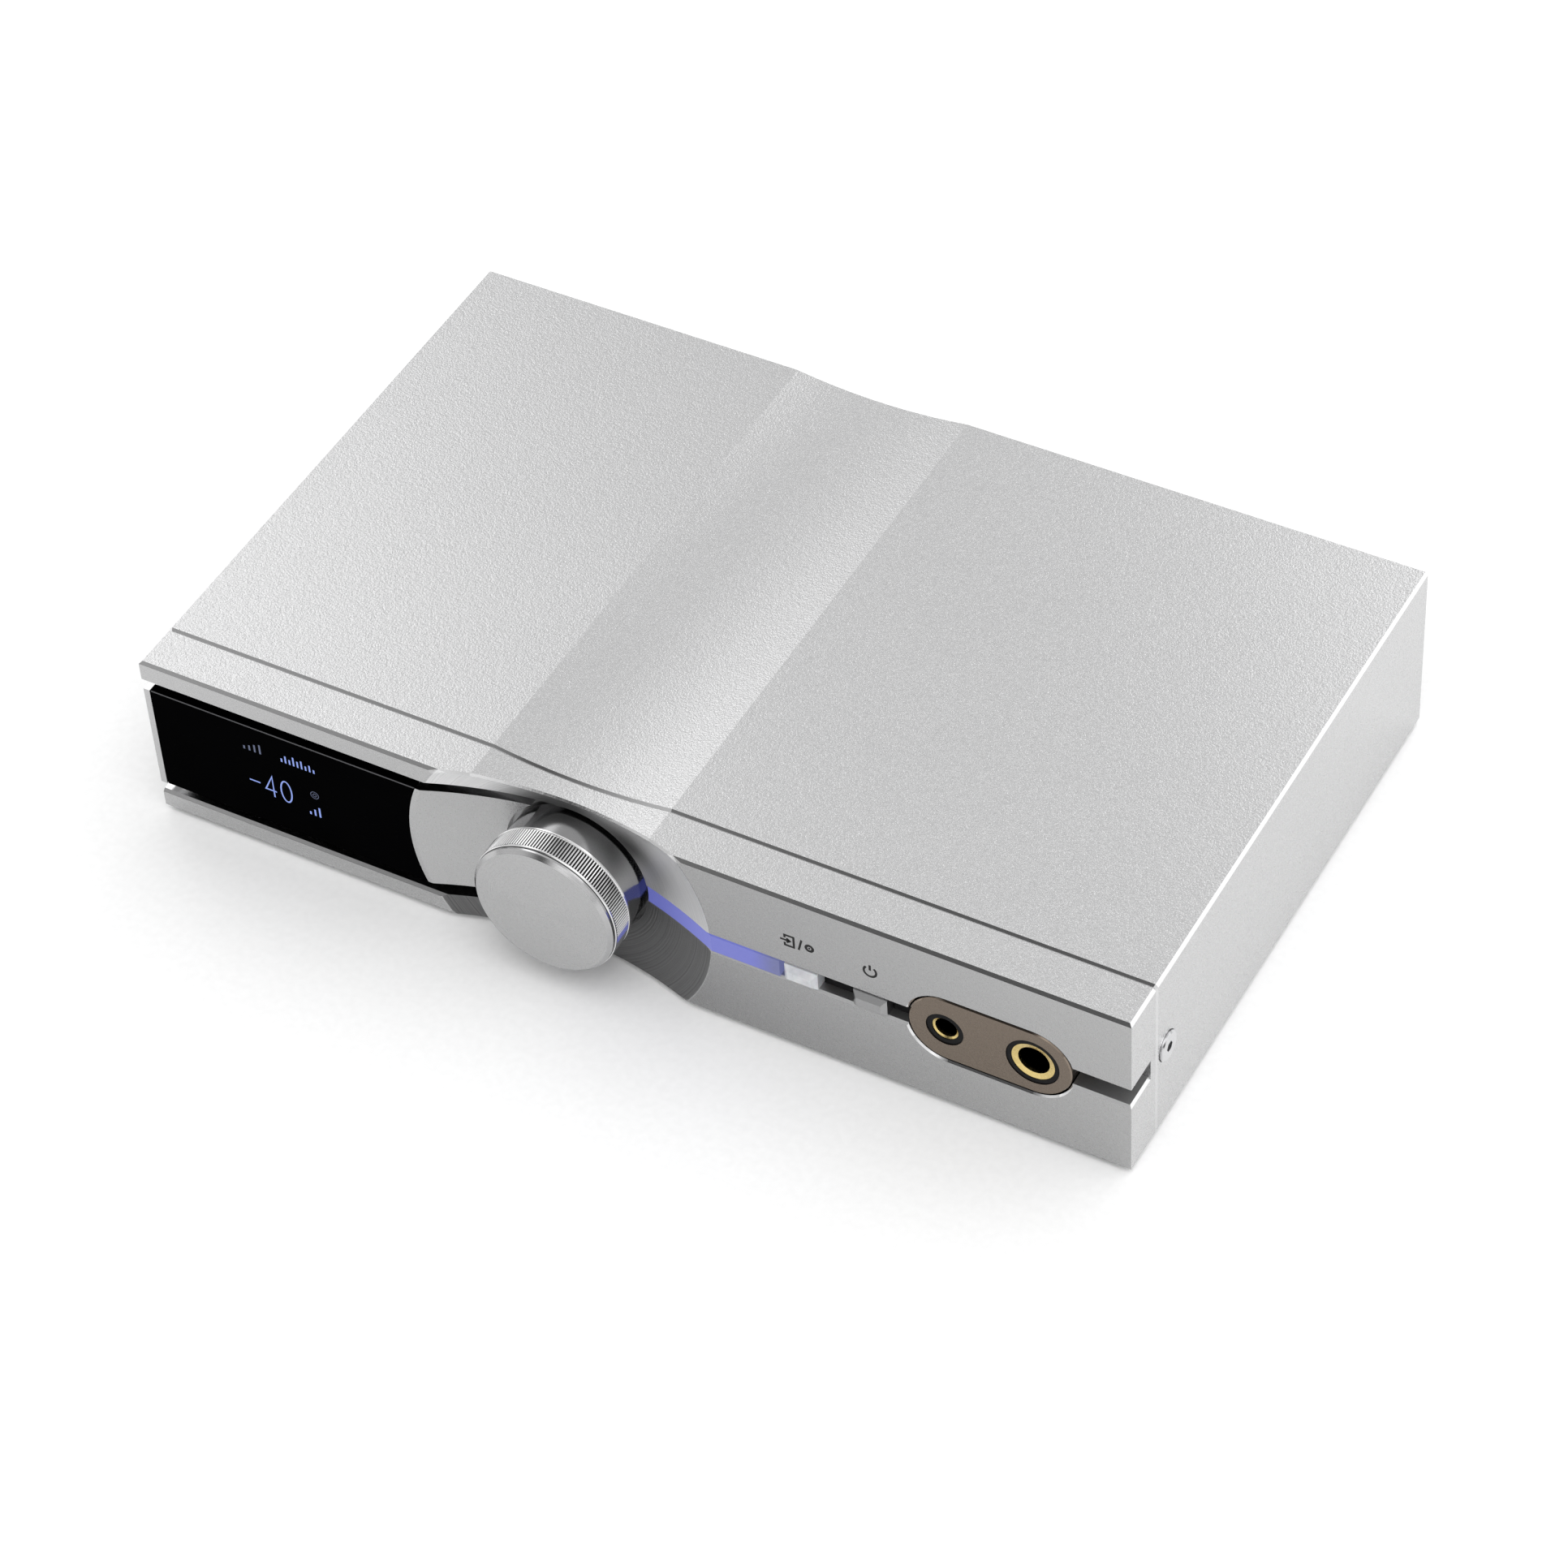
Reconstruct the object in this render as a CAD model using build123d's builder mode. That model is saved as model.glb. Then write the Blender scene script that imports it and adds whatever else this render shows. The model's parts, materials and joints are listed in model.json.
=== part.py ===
# Desktop headphone amplifier: milled front panel with a dished volume knob,
# extruded case, display, light strip, two buttons, two headphone sockets.
# X to the right seen from the front, Y from front to back, Z up.
# Origin: middle of the whole footprint, on the surface the feet stand on. Millimetres.

from build123d import *
import os

os.makedirs("parts", exist_ok=True)

# ---------------------------------------------------------------- case
case_width = 214.0
case_height = 40.1
case_depth = 131.5
foot_height = 0.9
front_y = -65.7
back_y = front_y + case_depth
case_bottom = foot_height
case_top = foot_height + case_height
mid_z = (case_bottom + case_top) / 2
half_w = case_width / 2
panel_thickness = 10.0
edge_chamfer = 0.6
joint_chamfer = 1.0
wall_side = 3.0
wall_bottom = 2.5
wall_top = 3.2
valley_half_width = 19.5
valley_depth = 1.6

# ---------------------------------------------------------------- knob and dish
knob_x = -13.25
dish_radius = 32.8
dish_hole_radius = 15.6
dish_hole_depth = 5.96
dish_mid_radius = 24.25
dish_mid_depth = 3.36
dish_edge = 0.45
pocket_depth = 8.0
knob_front = -7.3
knob_face_radius = 14.5
knob_ring_radius = 15.5
knob_barrel_radius = 14.7
shaft_radius = 3.0
knob_travel = 0.5

# ---------------------------------------------------------------- display
pocket_low = 5.6
pocket_high = 36.35
slab_low = 8.0
slab_high = 33.75
cheek_width = 1.4
glass_arc_radius = 33.8
glass_thickness = 2.0

# ---------------------------------------------------------------- light slot and buttons
slot_half_height = 2.1
slot_chamfer = 0.5
strip_end_x = 34.3
button_height = 3.9
button_width = 7.1
button_bevel = 0.95
button_proud = 0.9
input_x = 38.75
power_x = 53.35
button_travel = 0.3

# ---------------------------------------------------------------- headphone sockets
plate_x = 78.05
plate_spacing = 17.7
plate_radius = 8.0
plate_gap = 0.32
plate_mouth = 0.35
balanced_x = 68.8
standard_x = 86.9

# ---------------------------------------------------------------- boards and rear
inside_x = half_w - wall_side
inside_low = case_bottom + wall_bottom
inside_high = case_top - wall_top
board_thickness = 1.6
board_low = 8.0
board_top = board_low + board_thickness
board_front = 24.0
board_back = 126.0
board_half_x = 94.0
rear_inner = case_depth - 3.0
rear_outer = case_depth - 1.0
connector_end = 73.0 - front_y
dc_x = 88.0
usb_x = 68.0
optical_x = 48.0
coax_x = 28.0
antenna_x = 4.0
line_xs = (-36.0, -56.0)
rca_z = 18.5
dc_z = 15.2
usb_z = board_top + 1.7
optical_z = 15.0
antenna_z = 18.5
antenna_radius = 3.17
feet_xs = (-88.0, 88.0)
feet_depths = (24.0, 112.0)


def at(depth):
    """Y of a place this far behind the front face."""
    return front_y + depth


def across(depth):
    """Plane across the case at a depth; sketch x is X, sketch y is Z."""
    return Plane.XZ.offset(-at(depth))


def block(x0, x1, d0, d1, z0, z1, mode=Mode.ADD):
    """Box between two X values, two depths and two heights."""
    with Locations(((x0 + x1) / 2, at((d0 + d1) / 2), (z0 + z1) / 2)):
        Box(x1 - x0, d1 - d0, z1 - z0, mode=mode)


def rod(x, z, radius, d0, d1, mode=Mode.ADD):
    """Cylinder along Y between two depths."""
    with Locations((x, at((d0 + d1) / 2), z)):
        Cylinder(radius, d1 - d0, rotation=(90, 0, 0), mode=mode)


def post(x, depth, radius, z0, z1, mode=Mode.ADD):
    """Upright cylinder between two heights."""
    with Locations((x, at(depth), (z0 + z1) / 2)):
        Cylinder(radius, z1 - z0, mode=mode)


def case_outline(depth):
    """Cross-section of the case with chamfered corners and the shallow top valley."""
    c = edge_chamfer
    left_crease = knob_x - valley_half_width
    right_crease = knob_x + valley_half_width
    with BuildSketch(across(depth)) as outline:
        with BuildLine():
            Polyline(
                (left_crease, case_top),
                (-half_w + c, case_top),
                (-half_w, case_top - c),
                (-half_w, case_bottom + c),
                (-half_w + c, case_bottom),
                (half_w - c, case_bottom),
                (half_w, case_bottom + c),
                (half_w, case_top - c),
                (half_w - c, case_top),
                (right_crease, case_top),
            )
            ThreePointArc(
                (right_crease, case_top),
                (knob_x, case_top - valley_depth),
                (left_crease, case_top),
            )
        make_face()
    return outline.sketch


def dish_profile(hole_radius, floor_depth):
    """Half-section of the dish and the knob hole, swung about the knob axis."""
    with BuildSketch(Plane.XY.offset(mid_z)) as section:
        with BuildLine():
            Polyline(
                (knob_x + hole_radius, at(dish_hole_depth)),
                (knob_x + hole_radius, at(floor_depth)),
                (knob_x, at(floor_depth)),
                (knob_x, at(-2)),
                (knob_x + dish_radius, at(-2)),
                (knob_x + dish_radius, at(0)),
            )
            ThreePointArc(
                (knob_x + dish_radius, at(0)),
                (knob_x + dish_mid_radius, at(dish_mid_depth)),
                (knob_x + hole_radius, at(dish_hole_depth)),
            )
        make_face()
    return section.sketch


knob_axis = Axis((knob_x, 0, mid_z), (0, 1, 0))
screw_depth = 14.8
ear_inner = 97.0
carrier_screw_places = ((-100.0, 12.2), (-100.0, 29.6), (-50.5, 12.2), (-50.5, 29.6))
side_head_radius = 3.15
side_head_proud = 0.6

# ================================================================ front panel
with BuildPart() as front_panel:
    extrude(case_outline(0), amount=-panel_thickness)
    front_top = front_panel.edges().filter_by(Axis.X).filter_by_position(Axis.Y, at(-0.1), at(0.1))
    chamfer(front_top, length=edge_chamfer)
    # open-ended pocket for the display slab
    block(-half_w - 1, knob_x, -1, pocket_depth, pocket_low, pocket_high, mode=Mode.SUBTRACT)
    lower_lip = (
        front_panel.edges()
        .filter_by(Axis.X)
        .filter_by_position(Axis.Y, at(-0.1), at(0.1))
        .filter_by_position(Axis.Z, pocket_low - 0.1, pocket_low + 0.1)
    )
    chamfer(lower_lip, length=edge_chamfer)
    # slot for light strip and buttons, running out of the right-hand end
    block(
        knob_x + 20, half_w + 1, -1, pocket_depth,
        mid_z - slot_half_height, mid_z + slot_half_height, mode=Mode.SUBTRACT,
    )
    slot_mouth = (
        front_panel.edges()
        .filter_by_position(Axis.Z, mid_z - 2.2, mid_z + 2.2)
        .filter_by_position(Axis.X, knob_x + 25, half_w + 0.1)
    )
    front_lines = slot_mouth.filter_by(Axis.X).filter_by_position(Axis.Y, at(-0.1), at(0.1))
    end_lines = slot_mouth.filter_by(Axis.Y).filter_by_position(Axis.X, half_w - 0.1, half_w + 0.1)
    chamfer(front_lines + end_lines, length=slot_chamfer)
    # dish and knob hole
    revolve(dish_profile(dish_hole_radius, pocket_depth), axis=knob_axis, mode=Mode.SUBTRACT)
    # fine chamfer where the dish breaks out through the top and the bottom
    dish_breaks = (
        front_panel.edges()
        .filter_by_position(Axis.Y, at(0.2), at(dish_hole_depth))
        .filter_by(lambda e: abs(e.center().Z - mid_z) > 17)
        .filter_by(lambda e: abs(e.center().X - knob_x) < 26)
    )
    chamfer(dish_breaks, length=dish_edge)
    # window behind the light strip
    block(
        knob_x + 15, strip_end_x, -1, panel_thickness + 1,
        mid_z - slot_half_height, mid_z + slot_half_height, mode=Mode.SUBTRACT,
    )
    # cut-out for the socket plate
    with BuildSketch(across(-1)):
        with Locations((plate_x, mid_z)):
            SlotCenterToCenter(plate_spacing, 2 * (plate_radius + plate_gap))
    extrude(amount=-(panel_thickness + 2), mode=Mode.SUBTRACT)
    with BuildSketch(across(0)):
        with Locations((plate_x, mid_z)):
            SlotCenterToCenter(plate_spacing, 2 * (plate_radius + plate_gap + plate_mouth))
    extrude(amount=-plate_mouth, taper=45, mode=Mode.SUBTRACT)
    # holes for encoder bush, button stems, display ribbon and slab screws
    rod(knob_x, mid_z, 3.65, pocket_depth - 1, panel_thickness + 1, mode=Mode.SUBTRACT)
    for x in (input_x, power_x):
        block(x - 1.6, x + 1.6, 7, 11, mid_z - 1.6, mid_z + 1.6, mode=Mode.SUBTRACT)
    block(-84, -70, 7, 11, 13, 15, mode=Mode.SUBTRACT)
    for x, z in carrier_screw_places:
        rod(x, z, 1.45, 7, 11, mode=Mode.SUBTRACT)
    # side ears that take the case screws
    for side in (-1, 1):
        outer = side * (inside_x - 0.1)
        inner = side * ear_inner
        block(
            min(outer, inner), max(outer, inner), panel_thickness, panel_thickness + 9.5,
            mid_z - 6, mid_z + 6,
        )
        with Locations((side * 101, at(screw_depth), mid_z)):
            Cylinder(1.3, 12, rotation=(0, 90, 0), mode=Mode.SUBTRACT)
front_panel.part.label = "front_panel"
export_step(front_panel.part, "parts/front_panel.step")

# ================================================================ case sleeve
sleeve_len = case_depth - panel_thickness
boss_places = ((-100.4, 7.2), (-100.4, 34.0), (100.4, 7.2), (100.4, 34.0))
standoff_places = [(x, d) for x in (-86.0, -25.0, 64.0) for d in (34.0, 118.0)]
foot_radius = 7.0
foot_recess = 0.8

with BuildPart() as case_sleeve:
    extrude(case_outline(panel_thickness), amount=-sleeve_len)
    front_rim = case_sleeve.faces().sort_by(Axis.Y)[0].edges()
    chamfer(front_rim, length=joint_chamfer)
    block(
        -inside_x, inside_x, panel_thickness - 1, case_depth + 1,
        inside_low, inside_high, mode=Mode.SUBTRACT,
    )
    # screw channels in the four corners
    for x, z in boss_places:
        reach_x = inside_x + 0.5 if x > 0 else -inside_x - 0.5
        reach_z = inside_high + 0.5 if z > mid_z else inside_low - 0.5
        block(min(x, reach_x), max(x, reach_x), 22, rear_inner, z - 2.6, z + 2.6)
        block(x - 2.6, x + 2.6, 22, rear_inner, min(z, reach_z), max(z, reach_z))
        rod(x, z, 2.6, 22, rear_inner)
        rod(x, z, 1.3, 60, rear_inner + 1, mode=Mode.SUBTRACT)
    # seats and clearance for the two side screws
    for side in (-1, 1):
        with Locations((side * (half_w - 1), at(screw_depth), mid_z)):
            Cylinder(1.7, 8, rotation=(0, 90, 0), mode=Mode.SUBTRACT)
        with Locations((side * half_w, at(screw_depth), mid_z)):
            Cylinder(side_head_radius + 0.15, 0.8, rotation=(0, 90, 0), mode=Mode.SUBTRACT)
    # recesses for the feet
    for x in feet_xs:
        for d in feet_depths:
            post(x, d, foot_radius + 0.15, case_bottom - 1, case_bottom + foot_recess, mode=Mode.SUBTRACT)
case_sleeve.part.label = "case_sleeve"
export_step(case_sleeve.part, "parts/case_sleeve.step")

# ================================================================ feet
with BuildPart() as rubber_feet:
    for x in feet_xs:
        for d in feet_depths:
            post(x, d, foot_radius, 0, case_bottom + foot_recess)
    rims = rubber_feet.edges().filter_by(GeomType.CIRCLE).group_by(Axis.Z)[0]
    chamfer(rims, length=0.3)
rubber_feet.part.label = "rubber_feet"
export_step(rubber_feet.part, "parts/rubber_feet.step")

# ================================================================ side screws
with BuildPart() as side_screws:
    for side in (-1, 1):
        head_plane = Plane(
            origin=(side * (half_w - 0.35), at(screw_depth), mid_z),
            x_dir=(0, 1, 0),
            z_dir=(side, 0, 0),
        )
        with BuildSketch(head_plane):
            Circle(side_head_radius)
        extrude(amount=0.35 + side_head_proud)
        with BuildSketch(head_plane):
            Circle(1.2)
        extrude(amount=-8.0)
    head_rims = (
        side_screws.edges()
        .filter_by(GeomType.CIRCLE)
        .filter_by(lambda e: abs(abs(e.center().X) - half_w - side_head_proud) < 0.01)
    )
    chamfer(head_rims, length=0.25)
    for side in (-1, 1):
        socket_plane = Plane(
            origin=(side * (half_w + side_head_proud), at(screw_depth), mid_z),
            x_dir=(0, 1, 0),
            z_dir=(side, 0, 0),
        )
        with BuildSketch(socket_plane):
            RegularPolygon(1.15, 6)
        extrude(amount=-1.3, mode=Mode.SUBTRACT)
side_screws.part.label = "side_screws"
export_step(side_screws.part, "parts/side_screws.step")

# ================================================================ display slab
window_left = -96.5
window_right = -57.5
window_low = 10.2
window_high = 31.6

with BuildPart() as display_carrier:
    block(-half_w, knob_x, 0, pocket_depth, slab_low, slab_high)
    revolve(dish_profile(dish_hole_radius, pocket_depth + 1), axis=knob_axis, mode=Mode.SUBTRACT)
    # shallow bed for the glass, ending in an arc around the knob
    with BuildSketch(across(-1)):
        with Locations(((-half_w + cheek_width + knob_x) / 2, mid_z)):
            Rectangle(knob_x + half_w - cheek_width, case_height)
        with Locations((knob_x, mid_z)):
            Circle(glass_arc_radius, mode=Mode.SUBTRACT)
    extrude(amount=-(glass_thickness + 1), mode=Mode.SUBTRACT)
    # window for the screen and its board
    block(window_left, window_right, 1, pocket_depth + 1, window_low, window_high, mode=Mode.SUBTRACT)
    for x, z in carrier_screw_places:
        rod(x, z, 1.2, 4.2, pocket_depth + 1, mode=Mode.SUBTRACT)
display_carrier.part.label = "display_carrier"
export_step(display_carrier.part, "parts/display_carrier.step")

with BuildPart() as display_glass:
    with BuildSketch(across(0)):
        glass_left = -half_w + cheek_width + 0.2
        with Locations(((glass_left + knob_x) / 2, (slab_low + slab_high) / 2)):
            Rectangle(knob_x - glass_left, slab_high - slab_low)
        with Locations((knob_x, mid_z)):
            Circle(glass_arc_radius + 0.15, mode=Mode.SUBTRACT)
    extrude(amount=-glass_thickness)
    front_loop = display_glass.faces().sort_by(Axis.Y)[0].edges()
    chamfer(front_loop, length=0.15)
display_glass.part.label = "display_glass"
export_step(display_glass.part, "parts/display_glass.step")

screen_x = -76.6
with BuildPart() as oled_module:
    block(screen_x - 18, screen_x + 18, 2.05, 3.6, 10.6, 31.2)
oled_module.part.label = "oled_module"
export_step(oled_module.part, "parts/oled_module.step")

with BuildPart() as display_board:
    block(screen_x - 19.0, screen_x + 18.5, 3.7, 4.9, 10.5, 31.3)
    # driver chip and ribbon connector on the back
    block(screen_x - 10, screen_x - 4, 4.9, 5.9, 22, 27)
    block(screen_x - 7, screen_x + 7, 4.9, 6.3, 15.4, 18)
display_board.part.label = "display_board"
export_step(display_board.part, "parts/display_board.step")

with BuildPart() as display_ribbon:
    # flat cable: out of the connector, back through the panel, down to the main board
    with BuildSketch(Plane.YZ.offset(screen_x - 6)):
        with BuildLine():
            Polyline(
                (at(6.4), 15.4),
                (at(6.4), 14.1),
                (at(22.0), 14.1),
                (at(26.0), 12.6),
                (at(27.0), 12.6),
                (at(27.0), 12.9),
                (at(26.1), 12.9),
                (at(22.1), 14.4),
                (at(6.7), 14.4),
                (at(6.7), 15.4),
                close=True,
            )
        make_face()
    extrude(amount=12)
display_ribbon.part.label = "display_ribbon"
export_step(display_ribbon.part, "parts/display_ribbon.step")

with BuildPart() as carrier_screws:
    for x, z in carrier_screw_places:
        rod(x, z, 1.15, 4.6, 10.2)
        rod(x, z, 2.3, 10.0, 11.5)
        with BuildSketch(across(11.5)):
            with Locations((x, z)):
                RegularPolygon(0.9, 6)
        extrude(amount=0.9, mode=Mode.SUBTRACT)
carrier_screws.part.label = "carrier_screws"
export_step(carrier_screws.part, "parts/carrier_screws.step")

# ================================================================ knob
cap_back = -6.1
ring_front = -6.0
ring_back = -0.4
bore_radius = 13.5


def swing(points):
    """Ring or disc with this half-section (radius, depth) about the knob axis."""
    with BuildSketch(Plane.XY.offset(mid_z)) as section:
        with BuildLine():
            Polyline(*[(knob_x + r, at(d)) for r, d in points], close=True)
        make_face()
    return section.sketch


with BuildPart() as knob_cap:
    revolve(
        swing([
            (0, knob_front), (knob_face_radius, knob_front), (15.25, knob_front + 0.75),
            (15.25, cap_back), (bore_radius - 0.05, cap_back), (bore_radius - 0.05, -5.0), (0, -5.0),
        ]),
        axis=knob_axis,
    )
knob_cap.part.label = "knob_cap"
export_step(knob_cap.part, "parts/knob_cap.step")

with BuildPart() as knob_ring:
    revolve(
        swing([
            (bore_radius, ring_front), (knob_ring_radius - 0.15, ring_front),
            (knob_ring_radius, ring_front + 0.15), (knob_ring_radius, ring_back - 0.15),
            (knob_ring_radius - 0.15, ring_back), (bore_radius, ring_back),
        ]),
        axis=knob_axis,
    )
knob_ring.part.label = "knob_ring"
export_step(knob_ring.part, "parts/knob_ring.step")

grub_depth = 2.9
with BuildPart() as knob_barrel:
    revolve(
        swing([
            (0, -4.9), (bore_radius - 0.05, -4.9), (bore_radius - 0.05, ring_back),
            (knob_barrel_radius, ring_back), (knob_barrel_radius, 7.1), (knob_barrel_radius - 0.2, 7.3),
            (11.5, 7.3), (11.5, 1.4), (5.6, 1.4), (5.6, 4.3), (0, 4.3),
        ]),
        axis=knob_axis,
    )
    # bore for the encoder shaft, with its flat
    with BuildSketch(across(5)):
        with Locations((knob_x, mid_z)):
            Circle(shaft_radius + 0.04)
        with Locations((knob_x, mid_z - 4.54)):
            Rectangle(10, 4, mode=Mode.SUBTRACT)
    extrude(amount=8.8, mode=Mode.SUBTRACT)
    # key access and thread for the grub screw, underneath
    with Locations((knob_x, at(grub_depth), mid_z - 13)):
        Cylinder(1.6, 6, mode=Mode.SUBTRACT)
    with Locations((knob_x, at(grub_depth), mid_z - 4)):
        Cylinder(1.3, 8, mode=Mode.SUBTRACT)
knob_barrel.part.label = "knob_barrel"
export_step(knob_barrel.part, "parts/knob_barrel.step")

with BuildPart() as knob_grub_screw:
    with Locations((knob_x, at(grub_depth), mid_z - 4.05)):
        Cylinder(1.25, 3.0)
    with BuildSketch(Plane.XY.offset(mid_z - 5.55)):
        with Locations((knob_x, at(grub_depth))):
            RegularPolygon(0.7, 6)
    extrude(amount=1.2, mode=Mode.SUBTRACT)
knob_grub_screw.part.label = "knob_grub_screw"
export_step(knob_grub_screw.part, "parts/knob_grub_screw.step")

# ================================================================ rotary encoder
with BuildPart() as encoder_shaft:
    rod(knob_x, mid_z, shaft_radius, -3.6, 10.2)
    block(knob_x - 4, knob_x + 4, -4, 5.0, mid_z - 5, mid_z - 2.5, mode=Mode.SUBTRACT)
    with BuildSketch(across(10.2)):
        with Locations((knob_x, mid_z)):
            Circle(2.2)
            Rectangle(3.2, 6, mode=Mode.INTERSECT)
    extrude(amount=-5.0)
encoder_shaft.part.label = "encoder_shaft"
export_step(encoder_shaft.part, "parts/encoder_shaft.step")

with BuildPart() as encoder_rotor:
    rod(knob_x, mid_z, 4.3, 11.1, 12.7)
    with BuildSketch(across(11)):
        with Locations((knob_x, mid_z)):
            Circle(2.28)
            Rectangle(3.36, 6, mode=Mode.INTERSECT)
    extrude(amount=-3, mode=Mode.SUBTRACT)
encoder_rotor.part.label = "encoder_rotor"
export_step(encoder_rotor.part, "parts/encoder_rotor.step")

with BuildPart() as encoder_bush:
    rod(knob_x, mid_z, 3.5, 5.2, 10.1)
    block(knob_x - 6, knob_x + 6, 10.0, 10.6, mid_z - 6.2, mid_z + 6.2)
    rod(knob_x, mid_z, shaft_radius + 0.06, 4, 11, mode=Mode.SUBTRACT)
encoder_bush.part.label = "encoder_bush"
export_step(encoder_bush.part, "parts/encoder_bush.step")

with BuildPart() as encoder_nut:
    with BuildSketch(across(6.1)):
        with Locations((knob_x, mid_z)):
            RegularPolygon(5.77, 6)
            Circle(3.55, mode=Mode.SUBTRACT)
    extrude(amount=-1.9)
encoder_nut.part.label = "encoder_nut"
export_step(encoder_nut.part, "parts/encoder_nut.step")

with BuildPart() as encoder_body:
    block(knob_x - 6, knob_x + 6, 10.6, 17.0, mid_z - 6.2, mid_z + 6.2)
    rod(knob_x, mid_z, 4.65, 10, 13.2, mode=Mode.SUBTRACT)
    rod(knob_x, mid_z, 2.6, 13, 16.2, mode=Mode.SUBTRACT)
encoder_body.part.label = "encoder_body"
export_step(encoder_body.part, "parts/encoder_body.step")

# ================================================================ light strip
with BuildPart() as light_guide:
    block(
        knob_x + 14, strip_end_x - 0.15, 0.0, 9.1,
        mid_z - slot_half_height + 0.05, mid_z + slot_half_height - 0.05,
    )
    revolve(dish_profile(dish_hole_radius + 0.15, 10), axis=knob_axis, mode=Mode.SUBTRACT)
light_guide.part.label = "light_guide"
export_step(light_guide.part, "parts/light_guide.step")

with BuildPart() as light_board:
    block(-2.0, strip_end_x + 1.0, panel_thickness, panel_thickness + 1.0, mid_z - 3.1, mid_z + 3.1)
light_board.part.label = "light_board"
export_step(light_board.part, "parts/light_board.step")

with BuildPart() as light_emitters:
    for index in range(6):
        x = 4.5 + 5.4 * index
        block(x - 0.8, x + 0.8, 9.3, panel_thickness, mid_z - 0.8, mid_z + 0.8)
light_emitters.part.label = "light_emitters"
export_step(light_emitters.part, "parts/light_emitters.step")

# ================================================================ buttons
liner_end_x = plate_x - plate_spacing / 2 - plate_radius - plate_gap - 0.25
liner_face = 2.4
liner_floor = 7.2
half_b = button_width / 2
with BuildPart() as button_liner:
    low = mid_z - slot_half_height + 0.03
    high = mid_z + slot_half_height - 0.03
    block(strip_end_x + 0.03, liner_end_x, liner_floor, pocket_depth, low, high)
    block(strip_end_x + 0.03, input_x - half_b - 0.15, liner_face, liner_floor, low, high)
    block(input_x + half_b + 0.15, power_x - half_b - 0.15, liner_face, liner_floor, low, high)
    block(power_x + half_b + 0.15, liner_end_x, liner_face, liner_floor, low, high)
    for x in (input_x, power_x):
        block(x - 1.6, x + 1.6, 7, 9, mid_z - 1.6, mid_z + 1.6, mode=Mode.SUBTRACT)
button_liner.part.label = "button_liner"
export_step(button_liner.part, "parts/button_liner.step")


def button_sections(x):
    """Front face and base outline of one bevelled button."""
    with BuildSketch(across(-button_proud)) as face:
        with Locations((x, mid_z)):
            Rectangle(button_width - 2 * button_bevel, button_height - 2 * button_bevel)
    with BuildSketch(across(button_bevel - button_proud)) as base:
        with Locations((x, mid_z)):
            Rectangle(button_width, button_height)
    return face.sketch, base.sketch


with BuildPart() as input_button:
    loft(button_sections(input_x))
    block(
        input_x - half_b, input_x + half_b, button_bevel - button_proud, 6.0,
        mid_z - button_height / 2, mid_z + button_height / 2,
    )
    block(input_x - 1.3, input_x + 1.3, 6.0, 12.2, mid_z - 1.3, mid_z + 1.3)
input_button.part.label = "input_button"
export_step(input_button.part, "parts/input_button.step")

with BuildPart() as power_button:
    loft(button_sections(power_x))
    block(
        power_x - half_b, power_x + half_b, button_bevel - button_proud, 6.0,
        mid_z - button_height / 2, mid_z + button_height / 2,
    )
    block(power_x - 1.3, power_x + 1.3, 6.0, 12.2, mid_z - 1.3, mid_z + 1.3)
power_button.part.label = "power_button"
export_step(power_button.part, "parts/power_button.step")

with BuildPart() as input_plunger:
    rod(input_x, mid_z, 1.7, 12.2, 14.1)
input_plunger.part.label = "input_plunger"
export_step(input_plunger.part, "parts/input_plunger.step")

with BuildPart() as power_plunger:
    rod(power_x, mid_z, 1.7, 12.2, 14.1)
power_plunger.part.label = "power_plunger"
export_step(power_plunger.part, "parts/power_plunger.step")

with BuildPart() as switch_bodies:
    for x in (input_x, power_x):
        block(x - 3, x + 3, 13.4, 17.0, mid_z - 3, mid_z + 3)
        rod(x, mid_z, 2.0, 13, 14.6, mode=Mode.SUBTRACT)
switch_bodies.part.label = "switch_bodies"
export_step(switch_bodies.part, "parts/switch_bodies.step")

control_left = -28.0
control_right = 58.5
control_low = 11.0
control_high = 31.5
control_face = 17.0
control_screw_xs = (control_left + 4.0, 20.0, 46.0)
control_screw_z = control_high - 3.8
with BuildPart() as control_board:
    block(
        control_left, control_right, control_face, control_face + board_thickness,
        control_low, control_high,
    )
    for x in control_screw_xs:
        rod(x, control_screw_z, 1.7, 16, 19, mode=Mode.SUBTRACT)
    # ribbon connector on the back
    block(2, 16, 18.6, 21.0, 12, 15)
control_board.part.label = "control_board"
export_step(control_board.part, "parts/control_board.step")

with BuildPart() as control_ribbon:
    with BuildSketch(Plane.YZ.offset(3)):
        with BuildLine():
            Polyline(
                (at(20.0), 12.0),
                (at(20.0), 11.2),
                (at(27.0), 11.2),
                (at(27.0), 11.5),
                (at(20.3), 11.5),
                (at(20.3), 12.0),
                close=True,
            )
        make_face()
    extrude(amount=12)
control_ribbon.part.label = "control_ribbon"
export_step(control_ribbon.part, "parts/control_ribbon.step")

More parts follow.
